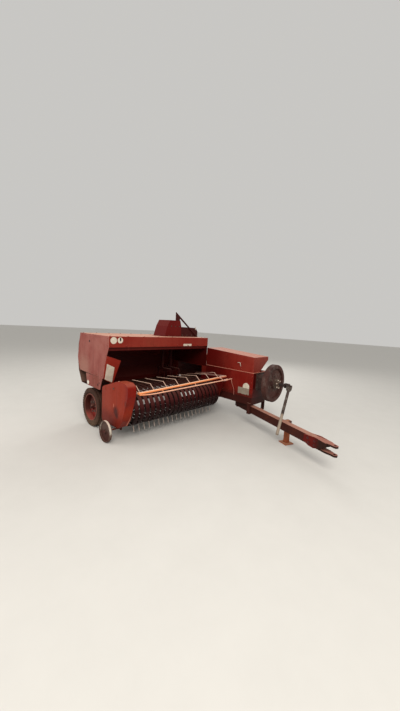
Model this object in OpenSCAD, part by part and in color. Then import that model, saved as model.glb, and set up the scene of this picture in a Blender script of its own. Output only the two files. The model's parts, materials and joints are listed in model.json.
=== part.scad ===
// Small square baler: pickup, side feeder, bale chamber, drawbar and wheels.
// Millimetres. X runs to the machine's left, Y to the rear and Z up; Z = 0 is the ground.

/* [Overall] */
// Width over the gauge wheel and the left tyre
overall_w = 2900; // [2600:1:3200]
// Length from the hitch jaw to the end of the chute
overall_l = 5480; // [5200:1:5800]
// Thickness of the sheet-metal panels
sheet = 5; // [3:0.5:8]

/* [Bale chamber] */
// Outer width of the chamber
ch_w = 460; // [400:1:520]
// Outer height of the chamber
ch_h = 440; // [400:1:500]
// Height of the chamber floor above the ground
ch_z = 490; // [460:1:540]
// Length of the plunger housing in front of the hood
house_l = 1096; // [900:1:1300]
// Width of the slots for the twine
slot_w = 80; // [50:1:100]
// Distance of each twine slot from the chamber's middle
twine_x = 90; // [70:1:110]
// Height of the gaps between the side rails
rail_gap = 65; // [40:1:90]
// Length of the bale chute
chute_l = 780; // [500:1:1000]
// Height of the chute's side rails
chute_h = 190; // [120:1:300]

/* [Hood and feeder] */
// Distance from the hood's front to the rear end of the chute
hood_back = 2820; // [2740:1:2880]
// Depth of the hood from front to rear
hood_d = 1000; // [900:1:1100]
// Height of the hood's top above the ground
hood_z = 1457; // [1380:1:1550]
// Height of the front fascia
fascia_h = 160; // [100:1:220]
// Distance of the end panel from the gauge wheel's outer face
panel_in = 132; // [110:1:160]
// Bulge of the rear wall
bulge = 100; // [40:1:140]
// Height of the feeder floor above the chamber floor
feed_step = 70; // [20:1:100]

/* [Wheels] */
// Distance of the axle behind the hood's front
axle_back = 522; // [480:1:560]
// Radius of the right tyre
tyre_r_rad = 306; // [290:1:320]
// Width of the right tyre
tyre_r_w = 150; // [120:1:160]
// Distance of the right tyre from the gauge wheel's outer face
tyre_r_in = 104; // [95:1:125]
// Radius of the left tyre
tyre_l_rad = 330; // [315:1:345]
// Width of the left tyre
tyre_l_w = 190; // [160:1:200]
// Gap between the chamber and the left tyre
tyre_gap = 50; // [40:1:70]
// Radius of the wheel spindles
spindle_r = 20; // [16:1:24]
// Side of the square axle beam
beam = 80; // [70:1:90]
// Radius of the gauge wheel
gauge_rad = 150; // [130:1:160]
// Width of the gauge wheel
gauge_w = 46; // [40:1:60]

/* [Pickup] */
// Radius of the circle of tine tips
tip_r = 332; // [310:1:345]
// Height of the reel's shaft
reel_z = 430; // [425:1:450]
// Distance of the reel's shaft in front of the hood's front
reel_fwd = 250; // [240:1:280]
// Number of tine bars
bars = 5; // [4:1:6]
// Distance between neighbouring tines
tine_pitch = 90; // [75:1:120]
// Radius of a tine
tine_r = 3.5; // [2.5:0.5:5]
// Radius of the tine bars' circle
bar_circle = 175; // [150:1:190]
// Radius of a tine bar
bar_r = 13; // [10:1:16]
// Radius of the stripper bands
strip_r = 235; // [220:1:255]
// Width of a stripper band
strip_w = 62; // [40:1:68]
// Radius of the pickup's hinge shaft
hinge_r = 25; // [20:1:30]
// Gap between the chamber and the pickup's left plate
pickup_gap = 100; // [60:1:140]
// Depth of the right shield
shield_d = 125; // [100:1:140]
// Radius of the windguard tube
guard_r = 16; // [12:1:20]
// Radius of the windguard rods
rod_r = 4; // [3:0.5:6]
// Number of windguard rods
rods = 8; // [6:1:10]

/* [Drive line] */
// Radius of the flywheel
fly_r = 321; // [290:1:340]
// Thickness of the flywheel's rim
fly_t = 90; // [60:1:110]
// Height of the input shaft
fly_z = 775; // [740:1:800]
// Radius of the input shaft
shaft_r = 24; // [20:1:28]
// Length of the hanging shaft
line_l = 1000; // [800:1:1040]
// Turn of the joint's cross about the input shaft
line_turn = 122; // [118:0.5:126]
// Drop of the hanging shaft from straight ahead
line_drop = 75; // [70:0.5:76]
// Radius of the hanging shaft's tube
line_r = 22; // [21:1:28]
// Length of the tube from the joint
tube_l = 640; // [500:1:700]
// Radius of the bar below the tube
bar_in_r = 20; // [14:1:20]

/* [Drawbar and stand] */
// Angle of the drawbar to the right, in transport
db_a = 21; // [15:0.5:25]
// Width of the drawbar beam
db_w = 100; // [80:1:120]
// Height of the drawbar beam
db_h = 120; // [100:1:130]
// Height of the drawbar's underside above the ground
db_z = 230; // [210:1:240]
// Radius of the hitch pin's hole
pin_r = 16; // [12:0.5:20]
// Distance of the stand from the drawbar's pivot
stand_s = 1215; // [1100:1:1300]
// Side of the stand's square post
post = 60; // [50:1:70]

/* [Hidden] */
// Curve segments of round pieces, and of large ones
$fn = 48;
fine = 96;
// Running clearances
run = 0.3;
fit_c = 0.05;

// Sides of the machine
x_right = -overall_w / 2;
x_left = overall_w / 2;
y_front = -overall_l / 2;
y_rear = overall_l / 2;
hood_y = y_rear - hood_back;

// Bale chamber
ch_x1 = x_left - tyre_l_w - tyre_gap;
ch_x0 = ch_x1 - ch_w;
ch_cx = (ch_x0 + ch_x1) / 2;
ch_z1 = ch_z + ch_h;
house_y = hood_y - house_l;
ch_y1 = y_rear - chute_l;
hood_y1 = hood_y + hood_d;
feed_z = ch_z + feed_step;
panel_x = x_right + panel_in;

// Wheels
axle_y = hood_y + axle_back;
tyre_r_x = x_right + tyre_r_in;
tyre_l_x = x_left - tyre_l_w;

// Frame under the chamber
rail_w = 60;
rail_h = 130;
rail_z = ch_z - rail_h;
rail_y1 = hood_y1 + 60;
beam_z = rail_z - beam;
beam_x0 = tyre_r_x + tyre_r_w + 40;
beam_x1 = ch_x1 + 15;
hub_in = 0.2;
hub_r = 45;
hub_x_r = tyre_r_x + hub_in * tyre_r_w;
hub_x_l = tyre_l_x + (1 - hub_in) * tyre_l_w;
feed_mid_x = (beam_x0 + ch_x0) / 2 - 30;

// Pickup
reel_y = hood_y - reel_fwd;
piv_y = reel_y + 400;
piv_z = reel_z + 50;
plate_t = 8;
pk_x0 = panel_x - 12 + shield_d;
pk_x1 = ch_x0 - pickup_gap;
pk_clear = 15;
guard_y = reel_y - 350;
guard_end_y = hood_y - 30;
guard_piv_y = hood_y - 10;
guard_piv_z = 760;
guard_pin = 12;
reel_shaft = 26;

// Drive line
fly_x = ch_cx + 20;
front_t = 12;
box_d = 170;
gear_y0 = house_y - front_t - box_d - 12;
fly_y1 = gear_y0 - 8;
fly_y0 = fly_y1 - fly_t;
clutch_d = 70;
yoke_y = fly_y0 - clutch_d - 12;
joint_y = yoke_y - 170;

// Drawbar, pivoted under the middle of the plunger housing
jaw_r = 34;
piv_x = ch_cx - 20;
piv_back = 416;
dpiv_y = house_y + piv_back;
db_len = (dpiv_y - y_front - jaw_r) / cos(db_a);
db_top = db_z + db_h;
guide_t = 14;
guide_w = 20;
guide_x0 = piv_x - (dpiv_y - house_y) * tan(db_a) - db_w / 2 / cos(db_a) - 8 - guide_w;

// Metering wheel on the chamber's roof
meter_r = 120;
meter_w = 12;
meter_y = hood_y1 + 620;
meter_z = ch_z1 + 90;
meter_pin = 12;

// Hinge of the chute
chute_y = ch_y1 + 26;
chute_z = ch_z - 14;

// Needle frame, pivoted on the chamber's sides
needle_rad = 480;
needle_piv_y = hood_y1 + 580;
needle_piv_z = ch_z + ch_h / 2;
needle_y = needle_piv_y - sqrt(needle_rad * needle_rad - ch_h * ch_h / 4);
needle_w = 12;
needle_h = 24;
needle_pin = 15;
arm_t = 20;
arm_gap = 10;
home_a = 8;
tip_a = -57;

// Hinges of the lids
knuckle_r = 7;
hinge_pin = 4;

// A box from its low corner to its high corner.
module block(a, b) {
    translate(a) cube([b[0] - a[0], b[1] - a[1], b[2] - a[2]]);
}

// An outline in Y and Z, drawn out along X from x0 over w.
module along_x(x0, w) {
    translate([x0, 0, 0]) rotate([90, 0, 90]) linear_extrude(w) children();
}

// A cylinder along X, from x0 over w, at y and z.
module rod_x(x0, w, y, z, r) {
    translate([x0, y, z]) rotate([0, 90, 0]) cylinder(r = r, h = w);
}

// A cylinder along Y, from y0 over d, at x and z.
module rod_y(y0, d, x, z, r) {
    translate([x, y0, z]) rotate([-90, 0, 0]) cylinder(r = r, h = d);
}

// A cylinder between two points.
module rod_to(a, b, r) {
    d = b - a;
    l = norm(d);
    translate(a)
        rotate([0, acos(d[2] / l), atan2(d[1], d[0])])
            cylinder(r = r, h = l);
}

// A round rod of radius r at x, from a by way of the knee p to c, each [y, z], slimmer past the knee.
module bent_rod(x, a, p, c, r) {
    e = p - unit(c - p) * r * 0.75;
    rod_to([x, a[0], a[1]], [x, p[0], p[1]], r);
    rod_to([x, e[0], e[1]], [x, c[0], c[1]], r * 0.85);
}

// An outline in X and Z, drawn out along Y from y0 over d.
module along_y(y0, d) {
    translate([0, y0 + d, 0]) rotate([90, 0, 0]) linear_extrude(d) children();
}

// Knuckles along X from the origin over len: part 0 holds the pin, part 1 turns on it.
module knuckles(len, n, part) {
    step = len / n;
    difference() {
        for (i = [part : 2 : n - 1])
            rod_x(i * step + 0.5, step - 1, 0, 0, knuckle_r);
        if (part == 1)
            rod_x(-1, len + 2, 0, 0, hinge_pin + run);
    }
    if (part == 0)
        rod_x(0.5, len - 1, 0, 0, hinge_pin);
}

// Points of a corner at p with radius r, between the corners before and after it.
function unit(v) = v / norm(v);
function corner(a, p, b, r, n) =
    let (u = unit(a - p), v = unit(b - p), h = acos(u * v) / 2,
        m = unit(u + v), c = p + m * r / sin(h),
        s = p + u * r / tan(h) - c, e = p + v * r / tan(h) - c,
        a0 = atan2(s[1], s[0]), a1 = atan2(e[1], e[0]),
        t = a1 - a0, turn = t > 180 ? t - 360 : (t < -180 ? t + 360 : t))
    [for (i = [0 : n]) c + r * [cos(a0 + turn * i / n), sin(a0 + turn * i / n)]];
// An outline whose corners [y, z, radius] are rounded.
function rounded(q, n = 6) =
    [for (i = [0 : len(q) - 1])
        let (k = len(q), a = q[(i + k - 1) % k], p = q[i], b = q[(i + 1) % k])
        each (p[2] > 0 ? corner([a[0], a[1]], [p[0], p[1]], [b[0], b[1]], p[2], n)
            : [[p[0], p[1]]])];

// Frame
module main_frame() {
    color("#5a2420") {
        difference() {
            union() {
                // Two rails under the chamber, with cross members between them
                for (x = [ch_x0, ch_x1 - rail_w])
                    block([x, house_y, rail_z], [x + rail_w, rail_y1, ch_z]);
                for (y = [house_y, dpiv_y - 70, hood_y, rail_y1 - rail_w])
                    block([ch_x0, y, rail_z], [ch_x1, y + rail_w, ch_z]);
                block([piv_x - 70, dpiv_y - 70, rail_z], [piv_x + 70, dpiv_y + 70, rail_z + guide_t]);
                // Axle beam from wheel to wheel, and the spindles with their nuts
                block([beam_x0, axle_y - beam / 2, beam_z],
                    [beam_x1, axle_y + beam / 2, rail_z]);
                rod_x(hub_x_r - 20, beam_x0 - hub_x_r + 20, axle_y, tyre_r_rad, spindle_r);
                rod_x(beam_x1, hub_x_l + 20 - beam_x1, axle_y, tyre_l_rad, spindle_r);
                spindle_nut(hub_x_r - 12, tyre_r_rad);
                spindle_nut(hub_x_l + 2, tyre_l_rad);
                // Uprights that carry the feeder
                for (x = [beam_x0 + 30, feed_mid_x, ch_x0 - 330])
                    block([x, axle_y - 30, rail_z], [x + 60, axle_y + 30, feed_z]);
                pickup_brackets();
                // Guide that the drawbar swings in
                for (x = [guide_x0, ch_x1 - guide_w])
                    block([x, house_y, db_z - 5 - guide_t], [x + guide_w, house_y + rail_w, rail_z]);
                block([guide_x0, house_y, db_z - 5 - guide_t], [ch_x1, house_y + rail_w, db_z - 5]);
                block([guide_x0, house_y, rail_z], [ch_x0, house_y + rail_w, rail_z + 40]);
            }
            for (x = [pk_x0 + 69, pk_x1 - 83])
                rod_x(x, 14, piv_y, piv_z, hinge_r + run);
        }
        // Pin of the drawbar's pivot, with its head
        translate([piv_x, dpiv_y, db_z - 10]) cylinder(r = pin_r, h = rail_z - db_z + 10);
        translate([piv_x, dpiv_y, db_z - 22]) cylinder(r = pin_r + 14, h = 12);
    }
}

module spindle_nut(x, z) {
    translate([x, axle_y, z]) rotate([0, 90, 0]) cylinder(r = 32, h = 10, $fn = 6);
}

module pickup_brackets() {
    for (x = [pk_x0 + 70, pk_x1 - 82]) {
        rod_x(x, 12, piv_y, piv_z, hinge_r + 20);
        along_x(x, 12) polygon([[piv_y, piv_z + hinge_r + 20], [axle_y - beam / 2, rail_z],
            [axle_y, rail_z], [axle_y, beam_z], [axle_y - beam / 2, beam_z],
            [piv_y, piv_z - hinge_r - 20]]);
    }
}

// Bale chamber
side_y1 = hood_y1 + 380;
module side_rails(x, y0) {
    // Three rails with gaps between them, tied at the rear end
    rail = (ch_h - 2 * rail_gap) / 3;
    for (i = [0 : 2])
        block([x, y0, ch_z + i * (rail + rail_gap)],
            [x + sheet, ch_y1, ch_z + i * (rail + rail_gap) + rail]);
    for (y = [(y0 + ch_y1) / 2, ch_y1 - 60])
        block([x, y, ch_z], [x + sheet, y + 60, ch_z1]);
}

module twine_slots(y0, y1, z) {
    for (s = [-1, 1])
        block([ch_cx + s * twine_x - slot_w / 2, y0, z - 1],
            [ch_cx + s * twine_x + slot_w / 2, y1, z + sheet + 1]);
}

module bale_chamber() {
    color("#7a1f1a") {
        difference() {
            union() {
                // Floor and roof
                block([ch_x0, hood_y, ch_z], [ch_x1, ch_y1, ch_z + sheet]);
                block([ch_x0, hood_y, ch_z1 - sheet], [ch_x1, ch_y1, ch_z1]);
                // Sides, closed beside the feeder and under the knotter
                for (x = [ch_x0, ch_x1 - sheet]) {
                    block([x, hood_y, ch_z], [x + sheet, side_y1, ch_z1]);
                    side_rails(x, side_y1);
                }
                // Angles across the roof
                for (y = [meter_y - 160, ch_y1 - 24])
                    block([ch_x0, y, ch_z1], [ch_x1, y + 24, ch_z1 + 26]);
            }
            // Opening that the feeder pushes the crop through
            block([ch_x0 - 1, hood_y + 120, feed_z + sheet],
                [ch_x0 + sheet + 1, hood_y1 - 140, ch_z1 - 40]);
            // Slots for the needles and the twine
            twine_slots(needle_y - 60, needle_y + 80, ch_z);
            twine_slots(hood_y1, ch_y1 - 60, ch_z1 - sheet);
            // Slot of the metering wheel
            block([ch_cx - meter_w, meter_y - meter_r, ch_z1 - sheet - 1],
                [ch_cx + meter_w, meter_y + meter_r, ch_z1 + 1]);
        }
        meter_bracket();
        // Pins of the needle frame
        for (x = [ch_x0 - arm_gap - arm_t - 2, ch_x1])
            rod_x(x, arm_gap + arm_t + 2, needle_piv_y, needle_piv_z, needle_pin);
        // Fixed knuckles of the chute
        translate([ch_x0 + 10, chute_y, chute_z]) knuckles(ch_w - 20, 7, 0);
        for (i = [0 : 2 : 6]) {
            k = (ch_w - 20) / 7;
            block([ch_x0 + 10 + i * k + 0.5, ch_y1 - 30, chute_z - knuckle_r],
                [ch_x0 + 10 + (i + 1) * k - 0.5, ch_y1 - 20, ch_z]);
            block([ch_x0 + 10 + i * k + 0.5, ch_y1 - 20, chute_z - knuckle_r],
                [ch_x0 + 10 + (i + 1) * k - 0.5, chute_y, chute_z - 2]);
        }
    }
}

ledge = 8;
module plunger_housing() {
    color("#a02a20") {
        // Floor, two sides and the front plate
        block([ch_x0, house_y, ch_z], [ch_x1, hood_y, ch_z + sheet]);
        for (x = [ch_x0, ch_x1 - sheet])
            block([x, house_y, ch_z], [x + sheet, hood_y, ch_z1]);
        block([ch_x0, house_y - front_t, ch_z], [ch_x1, house_y, ch_z1]);
        // Ledge under the cover's seam, around the front corner
        block([ch_x0 - ledge, house_y - front_t, ch_z1 - 6], [ch_x0, hood_y, ch_z1 - 1]);
        block([ch_x0 - ledge, house_y - front_t - ledge, ch_z1 - 6],
            [ch_x1 - 60, house_y - front_t, ch_z1 - 1]);
        // Corner strap in front and ribs on the left side
        block([ch_x0 - 3, house_y - front_t, ch_z], [ch_x0, house_y + 60, ch_z1 - 6]);
        for (i = [0 : 3])
            block([ch_x1, house_y + 60 + i * (house_l - 130) / 3, ch_z],
                [ch_x1 + 14, house_y + 68 + i * (house_l - 130) / 3, ch_z1 - 40]);
        // Fixed knuckles of the cover's hinge
        cover_hinge() knuckles(cover_len, 9, 0);
        for (i = [0 : 2 : 8])
            block([ch_x1, cover_y0 + i * cover_len / 9 + 0.5, ch_z1 - 24],
                [ch_x1 + 3, cover_y0 + (i + 1) * cover_len / 9 - 0.5, ch_z1 - 2]);
        for (i = [0 : 2 : 8])
            block([ch_x1, cover_y0 + i * cover_len / 9 + 0.5, ch_z1 - 6],
                [ch_x1 + knuckle_r + 2, cover_y0 + (i + 1) * cover_len / 9 - 0.5, ch_z1 - 2]);
    }
}

cover_len = 810;
cover_y0 = house_y + 180;
// Hinge line of the cover, along Y beside the housing's top edge
module cover_hinge() {
    translate([ch_x1 + knuckle_r + 2, cover_y0, ch_z1]) rotate([0, 0, 90]) children();
}

cover_front = 265;
cover_rear = 335;
module housing_cover() {
    y0 = house_y;
    y1 = hood_y - 2;
    color("#a8281e") difference() {
        along_x(ch_x0, ch_w) polygon([[y0, ch_z1], [y1, ch_z1], [y1, ch_z1 + cover_rear],
            [y0, ch_z1 + cover_front]]);
        along_x(ch_x0 + sheet, ch_w - 2 * sheet) polygon([[y0 + sheet, ch_z1 - 1],
            [y1 - sheet, ch_z1 - 1], [y1 - sheet, ch_z1 + cover_rear - sheet],
            [y0 + sheet, ch_z1 + cover_front - sheet]]);
        // Corner cut away over the gearbox
        translate([0, y0 + 160, 0]) rotate([90, 0, 0]) linear_extrude(162)
            polygon([[ch_x0 + 200, ch_z1 - 1], [ch_x1 + 1, ch_z1 - 1],
                [ch_x1 + 1, ch_z1 + 200], [ch_x1 - sheet, ch_z1 + 200]]);
    }
    color("#a8281e") {
        cover_hinge() knuckles(cover_len, 9, 1);
        for (i = [1 : 2 : 8])
            block([ch_x1, cover_y0 + i * cover_len / 9 + 0.5, ch_z1 + 2],
                [ch_x1 + 3, cover_y0 + (i + 1) * cover_len / 9 - 0.5, ch_z1 + 24]);
        for (i = [1 : 2 : 8])
            block([ch_x1, cover_y0 + i * cover_len / 9 + 0.5, ch_z1 + 4.5],
                [ch_x1 + knuckle_r + 2, cover_y0 + (i + 1) * cover_len / 9 - 0.5, ch_z1 + 6.5]);
    }
}

plunger_l = 360;
plunger_back = 60;
crank_rod_w = 70;
crank_rod_h = 80;
module plunger() {
    // The sliding block and its connecting rod
    y = hood_y - plunger_back - plunger_l;
    z = ch_z + 160;
    color("#4a4038") {
        block([ch_x0 + sheet, y, ch_z + sheet], [ch_x1 - sheet, y + plunger_l, ch_z1 - 20]);
        block([ch_cx - crank_rod_w / 2, house_y + 40, z], [ch_cx + crank_rod_w / 2, y, z + crank_rod_h]);
    }
}

// Feeder
module feeder_floor() {
    // The floor steps up over the right tyre
    z1 = wall_z - sheet;
    x1 = step_x;
    y1 = hood_y1 - 60;
    color("#8a3a30") translate([0, y1, 0]) rotate([90, 0, 0]) linear_extrude(y1 - hood_y - 230)
        polygon([[ch_x0, feed_z], [ch_x0, feed_z + sheet], [x1 + sheet, feed_z + sheet],
            [x1 + sheet, z1 + sheet], [panel_x + sheet, z1 + sheet], [panel_x + sheet, z1],
            [x1, z1], [x1, feed_z]]);
}

// The rear wall's outline, inset by k
function rear_line(k) = [[hood_y1 - k, hood_z - sheet], [hood_y1 + bulge * 0.75 - k, hood_z - 190],
    [hood_y1 + bulge - k, hood_z - 430], [hood_y1 + bulge * 0.6 - k, hood_z - 640],
    [hood_y1 - 60 - k, wall_z]];
function reversed(p) = [for (i = [len(p) - 1 : -1 : 0]) p[i]];

module feeder_rear_wall() {
    color("#8a3a30") {
        along_x(panel_x + sheet, ch_x0 - panel_x - sheet)
            polygon(concat(rear_line(0), reversed(rear_line(sheet))));
        block([step_x + sheet, hood_y1 - 60 - sheet, feed_z + sheet], [ch_x0, hood_y1 - 60, wall_z]);
    }
}

wall_z = 2 * tyre_r_rad + 18 + sheet;
step_x = tyre_r_x + tyre_r_w + 15;
// Place of the packer's opening in the hood
pack_x = ch_x0 - 800;
pack_w = 295;
pack_y = hood_y + 300;
pack_d = 300;
lip_z = hood_z - fascia_h;
lip_d = 40;
lip_h = 50;
module feeder_hood() {
    color("#8e4338") {
        difference() {
            block([panel_x + sheet, hood_y, hood_z - sheet], [ch_x0, hood_y1, hood_z]);
            block([pack_x, pack_y, hood_z - sheet - 1], [pack_x + pack_w, pack_y + pack_d, hood_z + 1]);
        }
        // Fascia, with a lip behind it that hangs lower
        block([panel_x + sheet, hood_y, lip_z], [ch_x0, hood_y + sheet, hood_z - sheet]);
        block([panel_x + sheet, hood_y + sheet, lip_z], [ch_x0, hood_y + lip_d, lip_z + sheet]);
        block([panel_x + sheet, hood_y + lip_d - sheet, lip_z - lip_h], [ch_x0, hood_y + lip_d, lip_z]);
        // Closing plate above the chamber, up to the rear wall
        w = rear_line(sheet);
        along_x(ch_x0 - sheet, sheet) polygon([[hood_y + sheet, ch_z1 - 30],
            [hood_y + sheet, hood_z - sheet],
            w[0], w[1], w[2], [lookup(ch_z1 - 30, [[w[3][1], w[3][0]], [w[2][1], w[2][0]]]), ch_z1 - 30]]);
    }
}

low_z = hood_z - 640;
module end_panel() {
    color("#b5685c") along_x(panel_x, sheet) polygon(rounded([[hood_y, hood_z, 0],
        [hood_y, hood_z - fascia_h, 20], [hood_y + 60, hood_z - 290, 30],
        [hood_y + 114, hood_z - 454, 30], [hood_y + 155, low_z, 10],
        [hood_y1 + 10, low_z + 18, 40], [hood_y1 + bulge, hood_z - 425, 160],
        [hood_y1, hood_z, 0]]));
}

module lower_end_panel() {
    color("#9c5a4c") along_x(panel_x, sheet) polygon(rounded([[hood_y + 186, low_z, 0],
        [hood_y + 250, tyre_r_rad * 2 + 18, 20], [hood_y + 700, tyre_r_rad * 2 + 18, 20],
        [hood_y + 757, low_z, 0]]));
}

module reflector() {
    color("#e8e4dc") rod_x(panel_x - 8, 8, hood_y + 660, low_z - 139, 30);
}

module wing_plate() {
    // A slanted plate across the right end of the feeder's mouth
    lean = atan2(96, 338);
    color("#c8281c") translate([0, hood_y + 60, hood_z - 286]) rotate([lean - 90, 0, 0])
        linear_extrude(sheet) polygon([[panel_x + sheet, 0], [panel_x + 243, 88],
            [panel_x + 173, 474], [panel_x + sheet, 365]]);
}

// Packer
pack_shaft_y = pack_y + pack_d / 2;
pack_shaft_z = hood_z + 90;
pack_shaft_r = 30;
pack_h = 300;
pack_side_h = 190;
pack_lean = 60;
pack_x1 = pack_x + pack_w + 40;
module packer_outline(k) {
    // The cover seen from the front, drawn in by k
    x = pack_x;
    h = pack_h - k;
    polygon([[x - pack_lean + k, -1], [pack_x1 - k, -1], [pack_x1 - k, pack_side_h],
        [x + pack_w + 10 - k, h], [x + pack_lean + k, h], [x + k, pack_side_h]]);
}

module packer_cover() {
    d = pack_d + 40;
    color("#6e2620") difference() {
        union() {
            intersection() {
                translate([0, 0, hood_z]) along_y(pack_y - 20, d) packer_outline(0);
                block([pack_x - 100, pack_y - 20, hood_z], [ch_x0, pack_y - 20 + d, hood_z + pack_h]);
            }
            // Flange on the hood
            block([pack_x - 85, pack_y - 45, hood_z], [pack_x1, pack_y + d - 20, hood_z + 4]);
        }
        translate([0, 0, hood_z]) along_y(pack_y - 20 + sheet, d - 2 * sheet) packer_outline(sheet);
        // Way in for the drive shaft
        rod_x(pack_x + pack_w, 60, pack_shaft_y, pack_shaft_z, pack_shaft_r);
    }
}

module packer_drive() {
    x = pack_x + 200;
    color("#4c1c18") translate([0, 0, hood_z]) {
        along_y(pack_y, pack_d)
            polygon([[pack_x1, 0], [ch_x0, 0], [ch_x0, pack_side_h - 80],
                [ch_x0 - pack_lean, pack_side_h - 10], [pack_x1, pack_side_h - 5]]);
        rod_x(pack_x + 30, pack_x1 - pack_x - 30, pack_shaft_y, pack_shaft_z - hood_z, pack_shaft_r);
        // Plate on the cover, and the strut from it down to the hood's edge
        along_y(pack_y - 20, 20) {
            polygon([[x, pack_h], [x, pack_h + 148], [x + 92, pack_h + 58], [x + 92, pack_h]]);
            polygon([[x, pack_h + 119], [x, pack_h + 153], [ch_x0 - 2, 0], [ch_x0 - 38, 0]]);
        }
    }
}

module packer_forks() {
    color("#6a5a50")
        for (x = [pack_x + 30, pack_x + pack_w - 70]) {
            difference() {
                rod_x(x, 40, pack_shaft_y, pack_shaft_z, pack_shaft_r + 20);
                rod_x(x - 1, 42, pack_shaft_y, pack_shaft_z, pack_shaft_r);
            }
            block([x, pack_shaft_y - 20, feed_z + 260],
                [x + 40, pack_shaft_y + 20, pack_shaft_z - pack_shaft_r - 10]);
            for (k = [0 : 2])
                block([x + 10, pack_shaft_y - 260 + 180 * k, feed_z + 70],
                    [x + 30, pack_shaft_y - 236 + 180 * k, feed_z + 260]);
            block([x, pack_shaft_y - 260, feed_z + 260], [x + 40, pack_shaft_y + 124, feed_z + 300]);
        }
}

// Knotter
knot_y = needle_y + 110;
knot_z = ch_z1 + 150;
knot_r = 100;
cover_z = knot_z + knot_r + 20;
module knotter_stand() {
    color("#7a1f1a") {
        for (x = [ch_x0, ch_x1 - 10])
            block([x, needle_y - 40, ch_z1], [x + 10, knot_y + 150, cover_z]);
        // Fixed knuckles of the cover
        translate([ch_x0, knot_y + 150 + knuckle_r + 2, cover_z]) knuckles(ch_w, 3, 0);
        for (x = [ch_x0, ch_x1 - 10])
            block([x, knot_y + 150, cover_z - 12], [x + 10, knot_y + 150 + knuckle_r + 2, cover_z - 3]);
    }
}

module knotters() {
    color("#5c5248") {
        rod_x(ch_x0 + 10, ch_w - 20, knot_y, knot_z, 20);
        for (s = [-1, 1]) translate([ch_cx + s * twine_x, knot_y, 0]) {
            // Cam disc and hub, then the frame with the twine disc and the bill hook's shaft
            rod_x(-22, 12, 0, knot_z, knot_r);
            rod_x(-36, 72, 0, knot_z, 38);
            block([10, -26, ch_z1 + 28], [24, 60, knot_z]);
            translate([17, 22, ch_z1 + 14]) cylinder(r = 34, h = 26);
            rod_y(-44, 40, 17, ch_z1 + 62, 8);
        }
        // Drive disc of the knotter shaft
        rod_x(ch_x0 + 24, 14, knot_y, knot_z, knot_r - 12);
    }
}

module knotter_cover() {
    y0 = needle_y - 40;
    y1 = knot_y + 150;
    color("#9a2a20") {
        block([ch_x0, y0, cover_z + 0.3], [ch_x1, y1, cover_z + 0.3 + sheet]);
        translate([ch_x0, y1 + knuckle_r + 2, cover_z]) knuckles(ch_w, 3, 1);
        block([ch_x0 + ch_w / 3 + 0.5, y1, cover_z + 4.5],
            [ch_x0 + 2 * ch_w / 3 - 0.5, y1 + knuckle_r + 2, cover_z + 6.5]);
    }
}

module metering_wheel() {
    color("#6a5a50") difference() {
        union() {
            rod_x(ch_cx - meter_w / 2, meter_w, meter_y, meter_z, meter_r - 25);
            for (i = [0 : 11]) translate([0, meter_y, meter_z]) rotate([i * 30, 0, 0])
                along_x(ch_cx - meter_w / 2, meter_w)
                    polygon([[meter_r - 30, -16], [meter_r, 0], [meter_r - 30, 16]]);
        }
        rod_x(ch_cx - meter_w, 2 * meter_w, meter_y, meter_z, meter_pin + fit_c);
    }
}

module meter_bracket() {
    for (s = [-1, 1])
        along_x(ch_cx + s * 17 - 4, 8) polygon([[meter_y - 60, ch_z1], [meter_y - 20, meter_z + 20],
            [meter_y + 20, meter_z + 20], [meter_y + 60, ch_z1]]);
    rod_x(ch_cx - 21, 42, meter_y, meter_z, meter_pin);
}

// A ring piece about X at the origin, from angle a0 to a1 behind straight down.
module ring_x(a0, a1, r0, r1, w) {
    rotate([0, 90, 0]) rotate([0, 0, a0]) rotate_extrude(angle = a1 - a0, $fn = fine)
        translate([r0, -w / 2]) square([r1 - r0, w]);
}

module needle_frame() {
    bar = 36;
    color("#5a2420") translate([0, needle_piv_y, needle_piv_z]) rotate([home_a, 0, 0]) {
        for (x = [ch_x0 - arm_gap - arm_t, ch_x1 + arm_gap])
            difference() {
                union() {
                    rod_x(x, arm_t, 0, 0, 40);
                    block([x, -22, -needle_rad - bar / 2], [x + arm_t, 22, 0]);
                }
                rod_x(x - 1, arm_t + 2, 0, 0, needle_pin + fit_c);
            }
        block([ch_x0 - arm_gap - arm_t, -bar / 2, -needle_rad - bar / 2],
            [ch_x1 + arm_gap + arm_t, bar / 2, -needle_rad + bar / 2]);
        // Needles, curved about the pivot
        for (s = [-1, 1]) translate([ch_cx + s * twine_x, 0, 0])
            ring_x(tip_a - home_a, -2, needle_rad - needle_h / 2, needle_rad + needle_h / 2, needle_w);
    }
}

// Twine box
box_y0 = axle_y - 380;
box_l = 760;
box_w = 224;
box_z0 = 700;
box_h = 360;
module twine_box() {
    color("#a02a20") difference() {
        block([ch_x1, box_y0, box_z0], [ch_x1 + box_w, box_y0 + box_l, box_z0 + box_h]);
        block([ch_x1 + sheet, box_y0 + sheet, box_z0 + sheet],
            [ch_x1 + box_w - sheet, box_y0 + box_l - sheet, box_z0 + box_h + 1]);
        for (i = [1 : 2 : 6])
            block([ch_x1 + box_w - 3, box_y0 + 40 + i * lid_len / 7 - 1, lid_z - knuckle_r - 2],
                [ch_x1 + box_w + 1, box_y0 + 40 + (i + 1) * lid_len / 7 + 1, lid_z + 1]);
    }
    color("#a02a20")
        lid_hinge() knuckles(lid_len, 7, 0);
}

lid_z = box_z0 + box_h;
lid_len = box_l - 80;
// Hinge line of the lid, along Y beside the box's outer edge
module lid_hinge() {
    translate([ch_x1 + box_w + knuckle_r - 2, box_y0 + 40, lid_z]) rotate([0, 0, 90]) children();
}

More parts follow.
